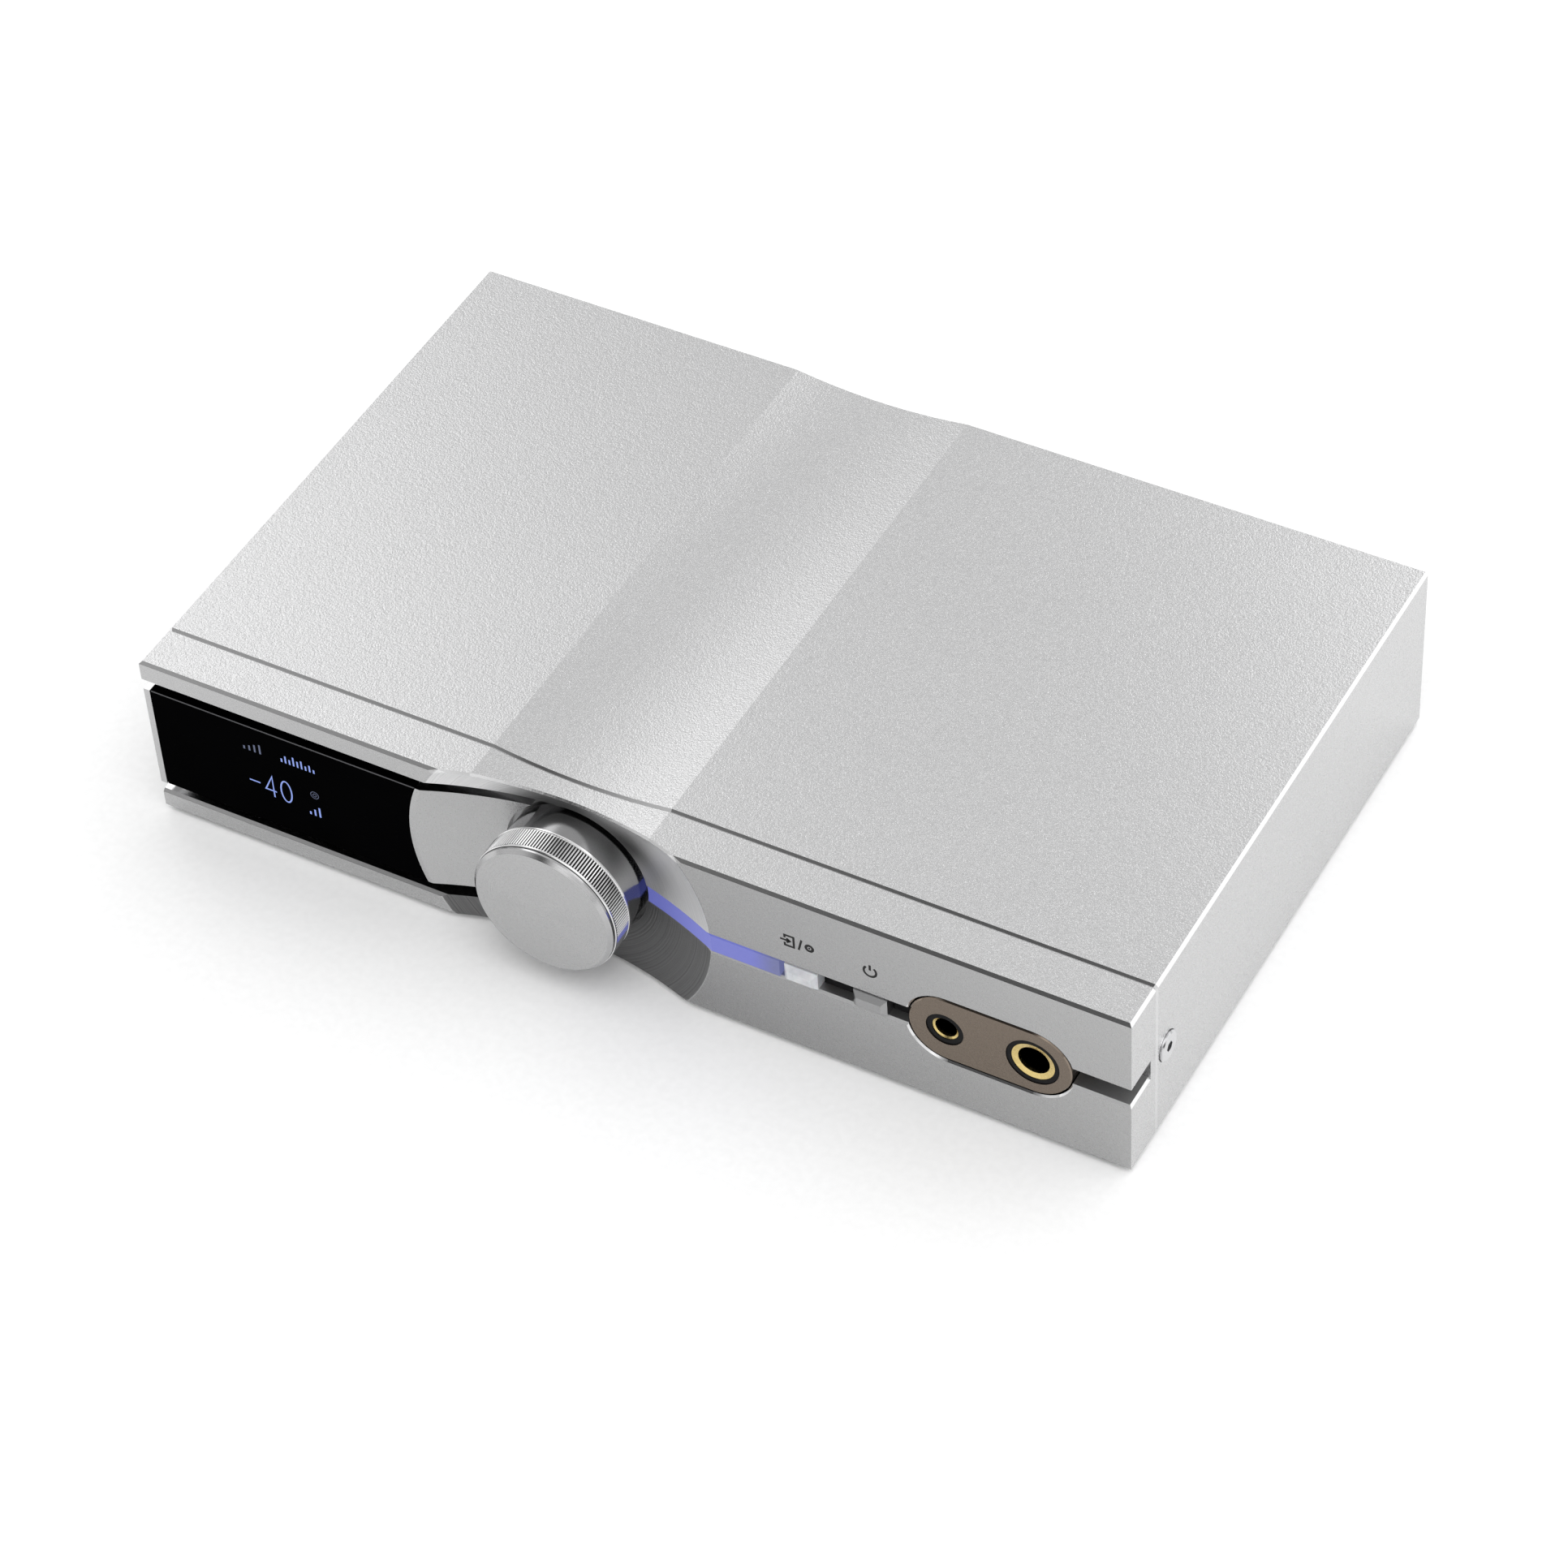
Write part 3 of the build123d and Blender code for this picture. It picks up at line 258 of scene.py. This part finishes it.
def blasted(name, colour, roughness, grain, contrast, relief, front_painted_shade=None, lower_dish_painted_shade=None):
    """Bead-blasted anodised aluminium: fine pits that catch the light one by one, with polished chamfers.

    With a front tone the front face gets painted shade, and with a lower dish tone the dish is turned and
    gets painted shade.
    """
    s = Shader(name)
    pits = s.noise(grain, 2.0, 0.65)
    clumps = s.noise(grain * 0.31, 2.0, 0.6)
    cloud = s.noise(14.0, 2.0)
    fleck = s.span(pits, 0.32, 0.68, -1.0, 1.0)
    drift = s.span(cloud, 0.3, 0.7, -0.3, 0.3)
    factor = s.math("MULTIPLY_ADD", s.plus(fleck, drift), 0.5, 0.5, clamp=True)
    body = s.mix(factor, shade(colour, 1.0 - contrast), shade(colour, 1.0 + contrast))
    height = s.plus(pits, s.times(clumps, 0.5))
    rough = s.span(pits, 0.3, 0.7, roughness - 0.04, roughness + 0.06)

    normal = s.normal()
    size = s.vector_math("ABSOLUTE", normal)
    across, out, upright = (s.axis(size, letter) for letter in "XYZ")
    steepest = s.math("MAXIMUM", across, s.math("MAXIMUM", out, upright))
    chamfer = s.span(steepest, 0.84, 0.76)
    # level walls inside the panel, such as the slot's and the pocket's
    inner = s.times(s.span(upright, 0.5, 0.6),
                    s.span(s.axis(s.place, "Z"), POCKET_TOP, POCKET_TOP + 0.5 * MM, 1.0, 0.0))
    smooth = s.math("MAXIMUM", chamfer, s.times(inner, 0.85))
    # painted shade on the front face
    if front_painted_shade is not None:
        body = paint_front_shade(s, body, colour, front_painted_shade)
    if lower_dish_painted_shade is not None:
        radius = s.ring_radius(KNOB)
        inside = s.times(s.span(radius, DISH_RADIUS - 0.3 * MM, DISH_RADIUS, 1.0, 0.0),
                         s.span(s.axis(s.place, "Y"), FRONT_Y + 0.03 * MM, FRONT_Y + 0.12 * MM))
        inside = s.times(inside, s.span(s.axis(normal, "Y"), -0.9, -0.84, 1.0, 0.0))
        lines = s.noise(1.0, 2.0, 0.7, vector=ring_lines(s, radius, DISH_LINES))
        height = s.plus(s.times(height, s.rest(inside)),
                        s.times(s.times(lines, DISH_LINE_RELIEF), inside))
        fine = s.mix(s.span(lines, 0.3, 0.7), shade(colour, 1.2), shade(colour, 1.5))
        body = s.mix(inside, body, fine)
        rough = s.plus(rough, s.times(inside, 0.16))
        smooth = s.times(smooth, s.rest(inside))
        chamfer = s.times(chamfer, s.rest(inside))
        # painted shadow and painted dark reflection in the dish
        body = paint_dish_shade(s, body, colour, radius, inside, lines, lower_dish_painted_shade)
    # the chamfers along the sides are painted brighter: partly bare cut metal, partly a painted highlight
    bare_and_highlight = s.times(across, s.span(upright, 0.0, 0.7, 0.45, 1.4))
    body = s.mix(s.times(chamfer, bare_and_highlight), body, shade(colour, 1.5))
    keep = s.rest(smooth)
    height = s.times(height, keep)
    rough = s.plus(s.times(rough, keep), s.times(smooth, POLISHED_ROUGHNESS))
    off_axis = s.math("ABSOLUTE", s.math("SUBTRACT", s.axis(s.place, "Z"), KNOB.z))
    in_slot = s.span(off_axis, SLOT_HALF - 0.1 * MM, SLOT_HALF, 1.0, 0.0)
    rough = s.plus(rough, s.times(s.times(inner, in_slot), 0.25))
    s.set(Base_Color=body, Metallic=1.0, Roughness=rough)
    s.bump(height, relief, 0.1 * MM)
    return s.material


def spun(name, colour, roughness, pitch, edge, anisotropy):
    """Turned metal: concentric marks on the face, polished outside the edge radius."""
    s = Shader(name)
    radius = s.ring_radius(KNOB)
    lines = s.noise(1.0, 3.0, 0.7, vector=ring_lines(s, radius, pitch))
    dust = s.noise(2600.0, 2.0)
    tone = s.plus(s.times(lines, 0.7), s.times(dust, 0.3))
    body = s.mix(s.span(tone, 0.35, 0.65), shade(colour, 0.92), shade(colour, 1.05))
    on_face = s.span(radius, edge - 0.1 * MM, edge, 1.0, 0.0)
    rough = s.math("MULTIPLY_ADD", on_face, roughness - POLISHED_ROUGHNESS, s.span(tone, 0.3, 0.7, 0.1, 0.16))
    s.set(Base_Color=body, Metallic=1.0, Roughness=rough, Anisotropic=anisotropy)
    tangent = s.tree.nodes.new("ShaderNodeTangent")
    tangent.direction_type = "RADIAL"
    tangent.axis = "Y"
    s.link(tangent.outputs[0], s.bsdf.inputs["Tangent"])
    s.bump(s.times(lines, on_face), 0.25, 0.02 * MM)
    return s.material


def polished(name, colour, roughness, streak, contrast):
    """Plated or machined metal: faint drawn streaks and a little haze."""
    s = Shader(name)
    streaks = s.noise(1.0, 3.0, 0.6, vector=s.stretch(streak))
    haze = s.noise(900.0, 2.0)
    tone = s.plus(s.times(streaks, 0.6), s.times(haze, 0.4))
    body = s.mix(s.span(tone, 0.3, 0.7), shade(colour, 1.0 - contrast), shade(colour, 1.0 + contrast))
    rough = s.span(tone, 0.3, 0.7, roughness - 0.012, roughness + 0.012)
    s.set(Base_Color=body, Metallic=1.0, Roughness=rough)
    s.bump(tone, 0.03, 0.02 * MM)
    return s.material


def gold(name):
    """Gold plate: warm and bright at a socket's mouth, with painted shade darkening it down the front
    sockets.
    """
    s = Shader(name)
    haze = s.noise(1600.0, 2.0)
    body = s.mix(s.span(haze, 0.3, 0.7), (0.64, 0.49, 0.19), (0.76, 0.60, 0.26))
    depth = s.axis(s.place, "Y")
    # painted shade: the gold goes near black deeper down the front sockets
    down = s.times(s.span(depth, FRONT_Y + 0.9 * MM, FRONT_Y + 1.6 * MM),
                   s.span(depth, 0.0, 10 * MM, 1.0, 0.0))
    body = s.mix(down, body, (0.004, 0.0035, 0.003))
    s.set(Base_Color=body, Metallic=1.0, Roughness=s.span(haze, 0.3, 0.7, 0.2, 0.3))
    s.bump(haze, 0.06, 0.02 * MM)
    return s.material


def knurl_metal(name, colour, roughness):
    """Chromed grip: bright on the teeth and rims, with painted shade making the bottom of the cuts dark."""
    s = Shader(name)
    haze = s.noise(1400.0, 2.0)
    crest = s.span(s.ring_radius(KNOB), RING_RADIUS - 0.24 * MM, RING_RADIUS - 0.10 * MM)
    # painted shade: near black at the bottom of the cuts
    body = s.mix(crest, shade(colour, 0.03), s.mix(s.span(haze, 0.3, 0.7), shade(colour, 0.94), colour))
    s.set(Base_Color=body, Metallic=1.0, Roughness=s.span(crest, 0.0, 1.0, 0.4, roughness))
    s.bump(haze, 0.08, 0.02 * MM)
    return s.material


def moulded(name, colour, roughness, grain=2200.0, contrast=0.12, relief=0.25, coat=0.0, specular=0.5):
    """Moulded plastic, rubber or lacquer: a fine spark-eroded texture."""
    s = Shader(name)
    texture = s.noise(grain, 3.0, 0.6)
    cloud = s.noise(60.0, 2.0)
    tone = s.plus(s.times(texture, 0.7), s.times(cloud, 0.3))
    body = s.mix(s.span(tone, 0.35, 0.65), shade(colour, 1.0 - contrast), shade(colour, 1.0 + contrast))
    rough = s.span(texture, 0.3, 0.7, roughness - 0.06, roughness + 0.08)
    s.set(Base_Color=body, Roughness=rough, Specular_IOR_Level=specular)
    if coat:
        s.set(Coat_Weight=coat, Coat_Roughness=0.08)
    s.bump(texture, relief, 0.04 * MM)
    return s.material


def black_glass(name):
    """Black-backed cover glass: almost no reflection, with a trace of smear in the gloss."""
    s = Shader(name)
    smear = s.noise(55.0, 3.0)
    normal = s.normal()
    # painted highlight: a lighter line on the glass's upper front edge
    glass_edge_highlight = s.times(s.span(s.axis(normal, "Z"), 0.3, 0.6),
                          s.span(s.axis(normal, "Y"), -0.3, -0.5))
    face = s.mix(s.span(smear, 0.3, 0.7), (0.0004, 0.0004, 0.0005), (0.0008, 0.0008, 0.001))
    s.set(Base_Color=s.mix(glass_edge_highlight, face, (0.10, 0.10, 0.105)),
          Roughness=s.span(smear, 0.3, 0.7, 0.03, 0.07), Specular_IOR_Level=0.002)
    s.bump(s.noise(300.0, 2.0), 0.01, 0.01 * MM)
    return s.material


def light_strip(name):
    """Frosted light guide: lit blue from the knob to the left button, paler where the light runs out."""
    s = Shader(name)
    low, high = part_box("light_guide")
    along = s.axis(s.place, "X")
    grain = s.noise(1500.0, 2.0)
    fade = s.span(along, high.x - 6.5 * MM, high.x - 0.5 * MM, smooth=True)
    lead = s.span(along, low.x, low.x + 16 * MM, 0.62, 0.0, smooth=True)
    glow = s.mix(lead, (0.15, 0.17, 0.59), (0.05, 0.065, 0.34))
    glow = s.mix(fade, glow, (0.13, 0.145, 0.31))
    glow = s.mix(s.span(grain, 0.3, 0.7, 0.0, 0.12), glow, (0.24, 0.27, 0.66))
    s.set(Base_Color=(0.06, 0.06, 0.10), Roughness=s.span(grain, 0.3, 0.7, 0.3, 0.42),
          Specular_IOR_Level=0.25, Emission_Color=glow, Emission_Strength=0.82)
    s.bump(grain, 0.1, 0.02 * MM)
    return s.material


def frosted(name):
    """Clear plastic with a frosted face."""
    s = Shader(name)
    grain = s.noise(2600.0, 2.0)
    cloud = s.noise(420.0, 2.0)
    body = s.mix(s.span(cloud, 0.3, 0.7), (0.50, 0.51, 0.54), (0.66, 0.67, 0.69))
    s.set(Base_Color=body, Roughness=s.span(grain, 0.3, 0.7, 0.25, 0.4), Subsurface_Weight=0.15,
          Subsurface_Scale=0.0012, Coat_Weight=0.3, Coat_Roughness=0.15)
    s.bump(grain, 0.2, 0.03 * MM)
    return s.material


def circuit_board(name):
    """Green board lacquer over copper areas, with the glass weave showing through."""
    s = Shader(name)
    copper = s.span(s.axis(s.cells(420.0), "X"), 0.55, 0.6)
    weave = s.noise(1500.0, 2.0)
    body = s.mix(copper, (0.012, 0.10, 0.045), (0.03, 0.17, 0.08))
    body = s.mix(s.span(weave, 0.3, 0.7, 0.0, 0.25), body, (0.02, 0.12, 0.06))
    s.set(Base_Color=body, Roughness=s.span(weave, 0.3, 0.7, 0.25, 0.4), Coat_Weight=0.4,
          Coat_Roughness=0.15)
    s.bump(s.plus(copper, s.times(weave, 0.2)), 0.2, 0.03 * MM)
    return s.material


def lit(name, colour, strength):
    """A dark face that glows in a slightly uneven colour."""
    s = Shader(name)
    dots = s.noise(5200.0, 1.0)
    body = s.mix(s.span(dots, 0.35, 0.65), shade(colour, 0.9), colour)
    s.set(Base_Color=(0.02, 0.02, 0.03), Roughness=s.span(dots, 0.3, 0.7, 0.35, 0.5),
          Emission_Color=body, Emission_Strength=strength)
    return s.material


FINISHES = {
    "case_aluminium": blasted("blasted_case", (0.57, 0.57, 0.573), 0.25, 2600.0, 0.035, 0.75),
    "panel_aluminium": blasted("blasted_panel", (0.57, 0.57, 0.573), 0.25, 2600.0, 0.035, 0.75,
                               front_painted_shade=0.76, lower_dish_painted_shade=0.26),
    "slab_aluminium": blasted("satin_slab", (0.49, 0.49, 0.493), 0.24, 3400.0, 0.025, 0.2),
    "knob_face": spun("spun_cap", (0.475, 0.475, 0.478), 0.27, 5200.0, 14.5 * MM, 0.8),
    "knob_knurl": knurl_metal("knurl_chrome", (0.82, 0.82, 0.825), 0.16),
    "knob_barrel": polished("barrel_chrome", (0.30, 0.30, 0.303), 0.18, (900.0, 1800.0, 900.0), 0.03),
    "display_glass": black_glass("black_glass"),
    "screen": moulded("screen_face", (0.003, 0.003, 0.004), 0.35, contrast=0.3),
    "light_strip": light_strip("light_strip"),
    "clear_button": frosted("frosted_button"),
    "button_aluminium": blasted("blasted_button", (0.36, 0.36, 0.363), 0.3, 4200.0, 0.04, 0.25),
    "black_plastic": moulded("black_plastic", (0.005, 0.005, 0.0055), 0.35, specular=0.08),
    "socket_plate": blasted("blasted_plate", (0.19, 0.155, 0.125), 0.28, 3400.0, 0.06, 0.3),
    "gold_plate": gold("gold_plate"),
    "screw_steel": polished("screw_steel", (0.62, 0.62, 0.63), 0.2, (900.0, 900.0, 900.0), 0.03),
    "rubber": moulded("rubber", (0.03, 0.03, 0.031), 0.75, 900.0, 0.2, 0.5),
    "rear_panel": blasted("black_anodised", (0.035, 0.035, 0.037), 0.36, 3000.0, 0.2, 0.35),
    "board": circuit_board("circuit_board"),
    "chip_black": moulded("chip_black", (0.03, 0.03, 0.033), 0.5, 1800.0),
    "capacitor_sleeve": moulded("capacitor_sleeve", (0.04, 0.05, 0.09), 0.3, 800.0, 0.1, 0.1, coat=0.3),
    "ribbon": moulded("ribbon", (0.72, 0.70, 0.64), 0.45, 500.0, 0.08, 0.15),
    "insert_white": moulded("insert_white", (0.80, 0.80, 0.77), 0.4, 1500.0, 0.05),
    "emitter": lit("emitter", (0.3, 0.32, 0.8), 1.0),
}

for entry in RECORD["materials"]:
    FINISHES[entry["slot"]]["slot"] = entry["slot"]

slot_of = {part["node"]: part["material_slot"] for part in RECORD["subparts"]}
for name, obj in NODES.items():
    finish = FINISHES[slot_of[name]]
    if obj.material_slots:
        for place in obj.material_slots:
            place.material = finish
    else:
        obj.data.materials.append(finish)


# ---------------------------------------------------------------- mesh helpers
def mesh_object(name, bm, material):
    """Turns the bmesh into an object with one material, its faces turned outward, and frees it."""
    bmesh.ops.recalc_face_normals(bm, faces=bm.faces)
    mesh = bpy.data.meshes.new(name)
    bm.to_mesh(mesh)
    bm.free()
    mesh.materials.append(material)
    obj = bpy.data.objects.new(name, mesh)
    scene.collection.objects.link(obj)
    return obj


# ---------------------------------------------------------------- knurled ring
KNURL_TEETH = 156
KNURL_DEPTH = 0.34 * MM
KNURL_SHARP_ANGLE = 24


def knurled_ring():
    """The knob's grip: straight V-shaped knurling between two plain polished rims."""
    front = ring_low.y
    length = (ring_high.y - ring_low.y) / MM
    # (distance from the front face, drop below full radius, share of the cut's depth), in millimetres
    profile = [
        (0.00, 0.62, 0), (0.00, 0.32, 0), (0.12, 0.10, 0), (0.24, 0.0, 0), (0.44, 0.0, 0),
        (0.50, 0.12, 0), (0.58, 0.12, 0), (0.64, 0.03, 0.8), (0.78, 0.0, 1),
        (length - 0.80, 0.0, 1), (length - 0.68, 0.03, 0.8), (length - 0.62, 0.12, 0),
        (length - 0.54, 0.12, 0), (length - 0.46, 0.0, 0), (length - 0.12, 0.0, 0),
        (length, 0.12, 0), (length, 0.62, 0),
    ]
    bm = bmesh.new()
    columns = []
    for i in range(2 * KNURL_TEETH):
        angle = math.pi * i / KNURL_TEETH
        cut = i % 2
        column = []
        for along, drop, share in profile:
            r = RING_RADIUS - drop * MM - cut * share * KNURL_DEPTH
            at = (KNOB.x + r * math.cos(angle), front + along * MM, KNOB.z + r * math.sin(angle))
            column.append(bm.verts.new(at))
        columns.append(column)
    for this, other in zip(columns, columns[1:] + columns[:1]):
        for k in range(len(profile)):
            m = (k + 1) % len(profile)
            bm.faces.new((this[k], this[m], other[m], other[k]))
    ring = mesh_object("knurled_ring", bm, FINISHES["knob_knurl"])
    ring.data.shade_smooth()
    ring.data.set_sharp_from_angle(angle=math.radians(KNURL_SHARP_ANGLE))
    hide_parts("knob_ring")
    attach(ring, "volume_knob")


knurled_ring()

# ---------------------------------------------------------------- readout and printed marks
INK_THICKNESS = 0.01 * MM


def printed():
    """Black printing ink."""
    s = Shader("printed_ink")
    edge = s.noise(2400.0, 2.0)
    s.set(Base_Color=s.mix(s.span(edge, 0.3, 0.7), (0.006, 0.006, 0.006), (0.014, 0.014, 0.014)),
          Roughness=s.span(edge, 0.3, 0.7, 0.5, 0.65), Specular_IOR_Level=0.25)
    s.bump(edge, 0.1, 0.01 * MM)
    return s.material


INK = printed()
READOUT = lit("readout_light", (0.25, 0.36, 0.86), 0.9)
READOUT_DIM = lit("readout_dim", (0.10, 0.13, 0.24), 0.6)


def circle(x, z, r, start=0.0, end=360.0, steps=32):
    """Points clockwise from straight up, angles in degrees."""
    angles = [math.radians(start + (end - start) * k / steps) for k in range(steps + 1)]
    return [(x + r * math.sin(a), z + r * math.cos(a)) for a in angles]


# each sign in a box one unit high, as strokes; the number is the box's width
SIGNS = {
    "-": (0.62, [[(0, 0.47), (0.62, 0.47)]]),
    "0": (0.60, [[(0.30 + x * 0.30, 0.5 + z * 0.5) for x, z in circle(0, 0, 1)]]),
    "4": (0.62, [[(0.46, 0), (0.46, 1), (0, 0.30), (0.62, 0.30)]]),
}


def bars(heights, x0, z0, x1, z1):
    """Upright strokes side by side, each a share of the box's height: a plain meter."""
    step = (x1 - x0) / (len(heights) - 1)
    return [[(x0 + i * step, z0), (x0 + i * step, z0 + h * (z1 - z0))] for i, h in enumerate(heights)]


def words(text, x0, z0, x1, z1, gap=0.3):
    """Strokes for a line of signs that fills the box x0..x1, z0..z1 in millimetres."""
    made, at = [], 0.0
    for sign in text:
        width, strokes = SIGNS[sign]
        made += [[(at + x, z) for x, z in stroke] for stroke in strokes]
        at += width + gap
    full = at - gap
    return [[(x0 + x / full * (x1 - x0), z0 + z * (z1 - z0)) for x, z in stroke] for stroke in made]


def ribbon(points, width):
    """Left and right edge of a stroke of even width with mitred corners."""
    closed = math.dist(points[0], points[-1]) < 1e-6
    edges = []
    for i, (x, z) in enumerate(points):
        before = points[i - 1] if i else (points[-2] if closed else None)
        after = points[i + 1] if i < len(points) - 1 else (points[1] if closed else None)
        legs = []
        for a, b in ((before, (x, z)), ((x, z), after)):
            if a is not None and b is not None:
                d = math.dist(a, b)
                legs.append(((b[0] - a[0]) / d, (b[1] - a[1]) / d))
        tx, tz = sum(leg[0] for leg in legs), sum(leg[1] for leg in legs)
        size = math.hypot(tx, tz)
        tx, tz = tx / size, tz / size
        reach = width / 2 / max(0.35, tx * legs[0][0] + tz * legs[0][1])
        edges.append(((x - tz * reach, z + tx * reach), (x + tz * reach, z - tx * reach)))
    return edges


def strokes_on_face(name, strokes, width, y, material, discs=()):
    """Thin raised strokes, and discs (x, z, radius), in millimetres, on the face at y that looks along -Y."""
    bm = bmesh.new()
    for points in strokes:
        rails = [[bm.verts.new((x * MM, y, z * MM)) for x, z in pair] for pair in ribbon(points, width)]
        for (a, b), (c, d) in zip(rails, rails[1:]):
            bm.faces.new((a, b, d, c))
    for x, z, r in discs:
        bm.faces.new([bm.verts.new((px * MM, y, pz * MM)) for px, pz in circle(x, z, r)[:-1]])
    made = bmesh.ops.extrude_face_region(bm, geom=bm.faces[:])
    front = [v for v in made["geom"] if isinstance(v, bmesh.types.BMVert)]
    bmesh.ops.translate(bm, vec=(0, -INK_THICKNESS, 0), verts=front)
    obj = mesh_object(name, bm, material)
    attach(obj, "amplifier")


LEFT = case_low.x / MM
TOP = TOP_Z / MM
PROUD = 0.001 * MM  # keeps the strokes' backs off the face they lie on
GLASS_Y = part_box("display_glass")[0].y - PROUD
PRINT_Y = FRONT_Y - PROUD


def readout():
    """The screen: a made-up level, three plain bar meters and a small badge."""
    box = (LEFT + 22.6, TOP - 25.0, LEFT + 32.4, TOP - 19.35)
    strokes_on_face("readout_level", words("-40", *box), 0.34, GLASS_Y, READOUT)
    # name, bar heights, left, right, top and bottom from the case's corner, stroke, material
    meters = [
        ("readout_signal", (0.35, 0.55, 0.8, 1.0), 22.6, 26.3, 11.45, 13.9, 0.42, READOUT_DIM),
        ("readout_spectrum", (0.4, 0.8, 0.55, 1.0, 0.7, 0.9, 0.5, 0.75, 0.4), 31.3, 38.7, 11.45, 13.8, 0.38,
         READOUT),
        ("readout_wedge", (0.3, 0.65, 1.0), 36.4, 38.6, 23.4, 26.0, 0.42, READOUT),
    ]
    for name, heights, x0, x1, z0, z1, width, material in meters:
        strokes = bars(heights, LEFT + x0, TOP - z1, LEFT + x1, TOP - z0)
        strokes_on_face(name, strokes, width, GLASS_Y, material)
    badge = [circle(LEFT + 38.0, TOP - 20.1, r) for r in (0.9, 0.4)]
    strokes_on_face("readout_badge", badge, 0.14, GLASS_Y, READOUT_DIM)


def marks():
    """Printed signs over the buttons: source with a plain dot, and power."""
    left, right = LEFT + 141.9, LEFT + 144.65
    top, bottom = TOP - 9.9, TOP - 12.6
    middle = (top + bottom) / 2
    box_left = left + 0.85
    source = [
        [(box_left, middle + 0.62), (box_left, top), (right, top), (right, bottom), (box_left, bottom),
         (box_left, middle - 0.62)],
        [(left - 0.1, middle), (right - 0.95, middle)],
        [(right - 1.5, middle + 0.55), (right - 0.8, middle), (right - 1.5, middle - 0.55)],
    ]
    strokes_on_face("mark_source", source, 0.47, PRINT_Y, INK)
    slash = [[(LEFT + 145.65, bottom - 0.1), (LEFT + 146.35, top + 0.1)]]
    strokes_on_face("mark_slash", slash, 0.44, PRINT_Y, INK)
    dot_x = LEFT + 147.95
    strokes_on_face("mark_wireless", [circle(dot_x, middle, 0.72)], 0.58, PRINT_Y, INK,
                    [(dot_x, middle, 0.22)])
    x, z = LEFT + 160.65, TOP - 11.4
    power = [circle(x, z, 1.3, 38, 322), [(x, z + 0.3), (x, z + 1.7)]]
    strokes_on_face("mark_power", power, 0.48, PRINT_Y, INK)


readout()
marks()

# ---------------------------------------------------------------- floor, light
FLOOR_HALF = 3.0


def floor():
    """A large square of the background paper under the object."""
    bm = bmesh.new()
    corners = [(-1, -1), (1, -1), (1, 1), (-1, 1)]
    bm.faces.new([bm.verts.new((x * FLOOR_HALF, y * FLOOR_HALF, 0)) for x, y in corners])
    obj = mesh_object("studio_floor", bm, floor_paper())


def floor_paper():
    """Matt white background paper."""
    s = Shader("floor_paper")
    fibre = s.noise(600.0, 3.0)
    s.set(Base_Color=s.mix(s.span(fibre, 0.3, 0.7), (0.90, 0.90, 0.90), (0.93, 0.93, 0.93)),
          Roughness=s.span(fibre, 0.3, 0.7, 0.6, 0.75), Specular_IOR_Level=0.0)
    return s.material


ROOM_LIGHT = 0.09
# soft world lights: azimuth from +Y towards +X, elevation, angles where it ends and is full, strength
SOFT_LIGHTS = [
    (-15, 34, 66, 24, 0.93),
    (160, 64, 38, 10, 2.15),
    (105, 60, 46, 16, 1.0),
    (62, 26, 46, 12, 1.35),
    (160, 14, 42, 12, 1.2),
    (-108, 29, 43, 18, 1.0),
]
# soft boxes behind the object: centre, width, height and brightness
SOFT_BOXES = [
    ("softbox_left", (-1.28, 0.9, 1.42), 0.75, 0.9, 1.3),
    ("softbox_right", (0.10, 0.9, 0.66), 0.6, 0.5, 1.45),
]


def soft_boxes():
    """Area lights turned to the middle of the object."""
    middle = Vector((0, 0, 0.04))
    for name, centre, width, height, brightness in SOFT_BOXES:
        light = bpy.data.lights.new(name, "AREA")
        light.shape = "RECTANGLE"
        light.size, light.size_y = width, height
        light.energy = brightness * math.pi * width * height
        obj = bpy.data.objects.new(name, light)
        scene.collection.objects.link(obj)
        obj.location = centre
        obj.rotation_mode = "QUATERNION"
        obj.rotation_quaternion = (middle - Vector(centre)).to_track_quat("-Z", "Y")


def studio():
    """A world that is dim all round, with smooth bright patches instead of windows or lamps."""
    world = bpy.data.worlds.new("studio")
    scene.world = world
    world.use_nodes = True
    tree = world.node_tree
    tree.nodes.clear()
    output = tree.nodes.new("ShaderNodeOutputWorld")
    background = tree.nodes.new("ShaderNodeBackground")
    tree.links.new(background.outputs[0], output.inputs["Surface"])
    direction = tree.nodes.new("ShaderNodeTexCoord").outputs["Generated"]
    total = ROOM_LIGHT
    for azimuth, elevation, edge, full, strength in SOFT_LIGHTS:
        a, e = math.radians(azimuth), math.radians(elevation)
        toward = (math.sin(a) * math.cos(e), math.cos(a) * math.cos(e), math.sin(e))
        dot = tree.nodes.new("ShaderNodeVectorMath")
        dot.operation = "DOT_PRODUCT"
        tree.links.new(direction, dot.inputs[0])
        dot.inputs[1].default_value = toward
        lobe = tree.nodes.new("ShaderNodeMapRange")
        lobe.interpolation_type = "SMOOTHSTEP"
        tree.links.new(dot.outputs["Value"], lobe.inputs["Value"])
        lobe.inputs["From Min"].default_value = math.cos(math.radians(edge))
        lobe.inputs["From Max"].default_value = math.cos(math.radians(full))
        lobe.inputs["To Max"].default_value = strength
        add = tree.nodes.new("ShaderNodeMath")
        add.operation = "ADD"
        tree.links.new(lobe.outputs["Result"], add.inputs[0])
        if isinstance(total, float):
            add.inputs[1].default_value = total
        else:
            tree.links.new(total, add.inputs[1])
        total = add.outputs[0]
    tree.links.new(total, background.inputs["Strength"])


floor()
studio()
soft_boxes()
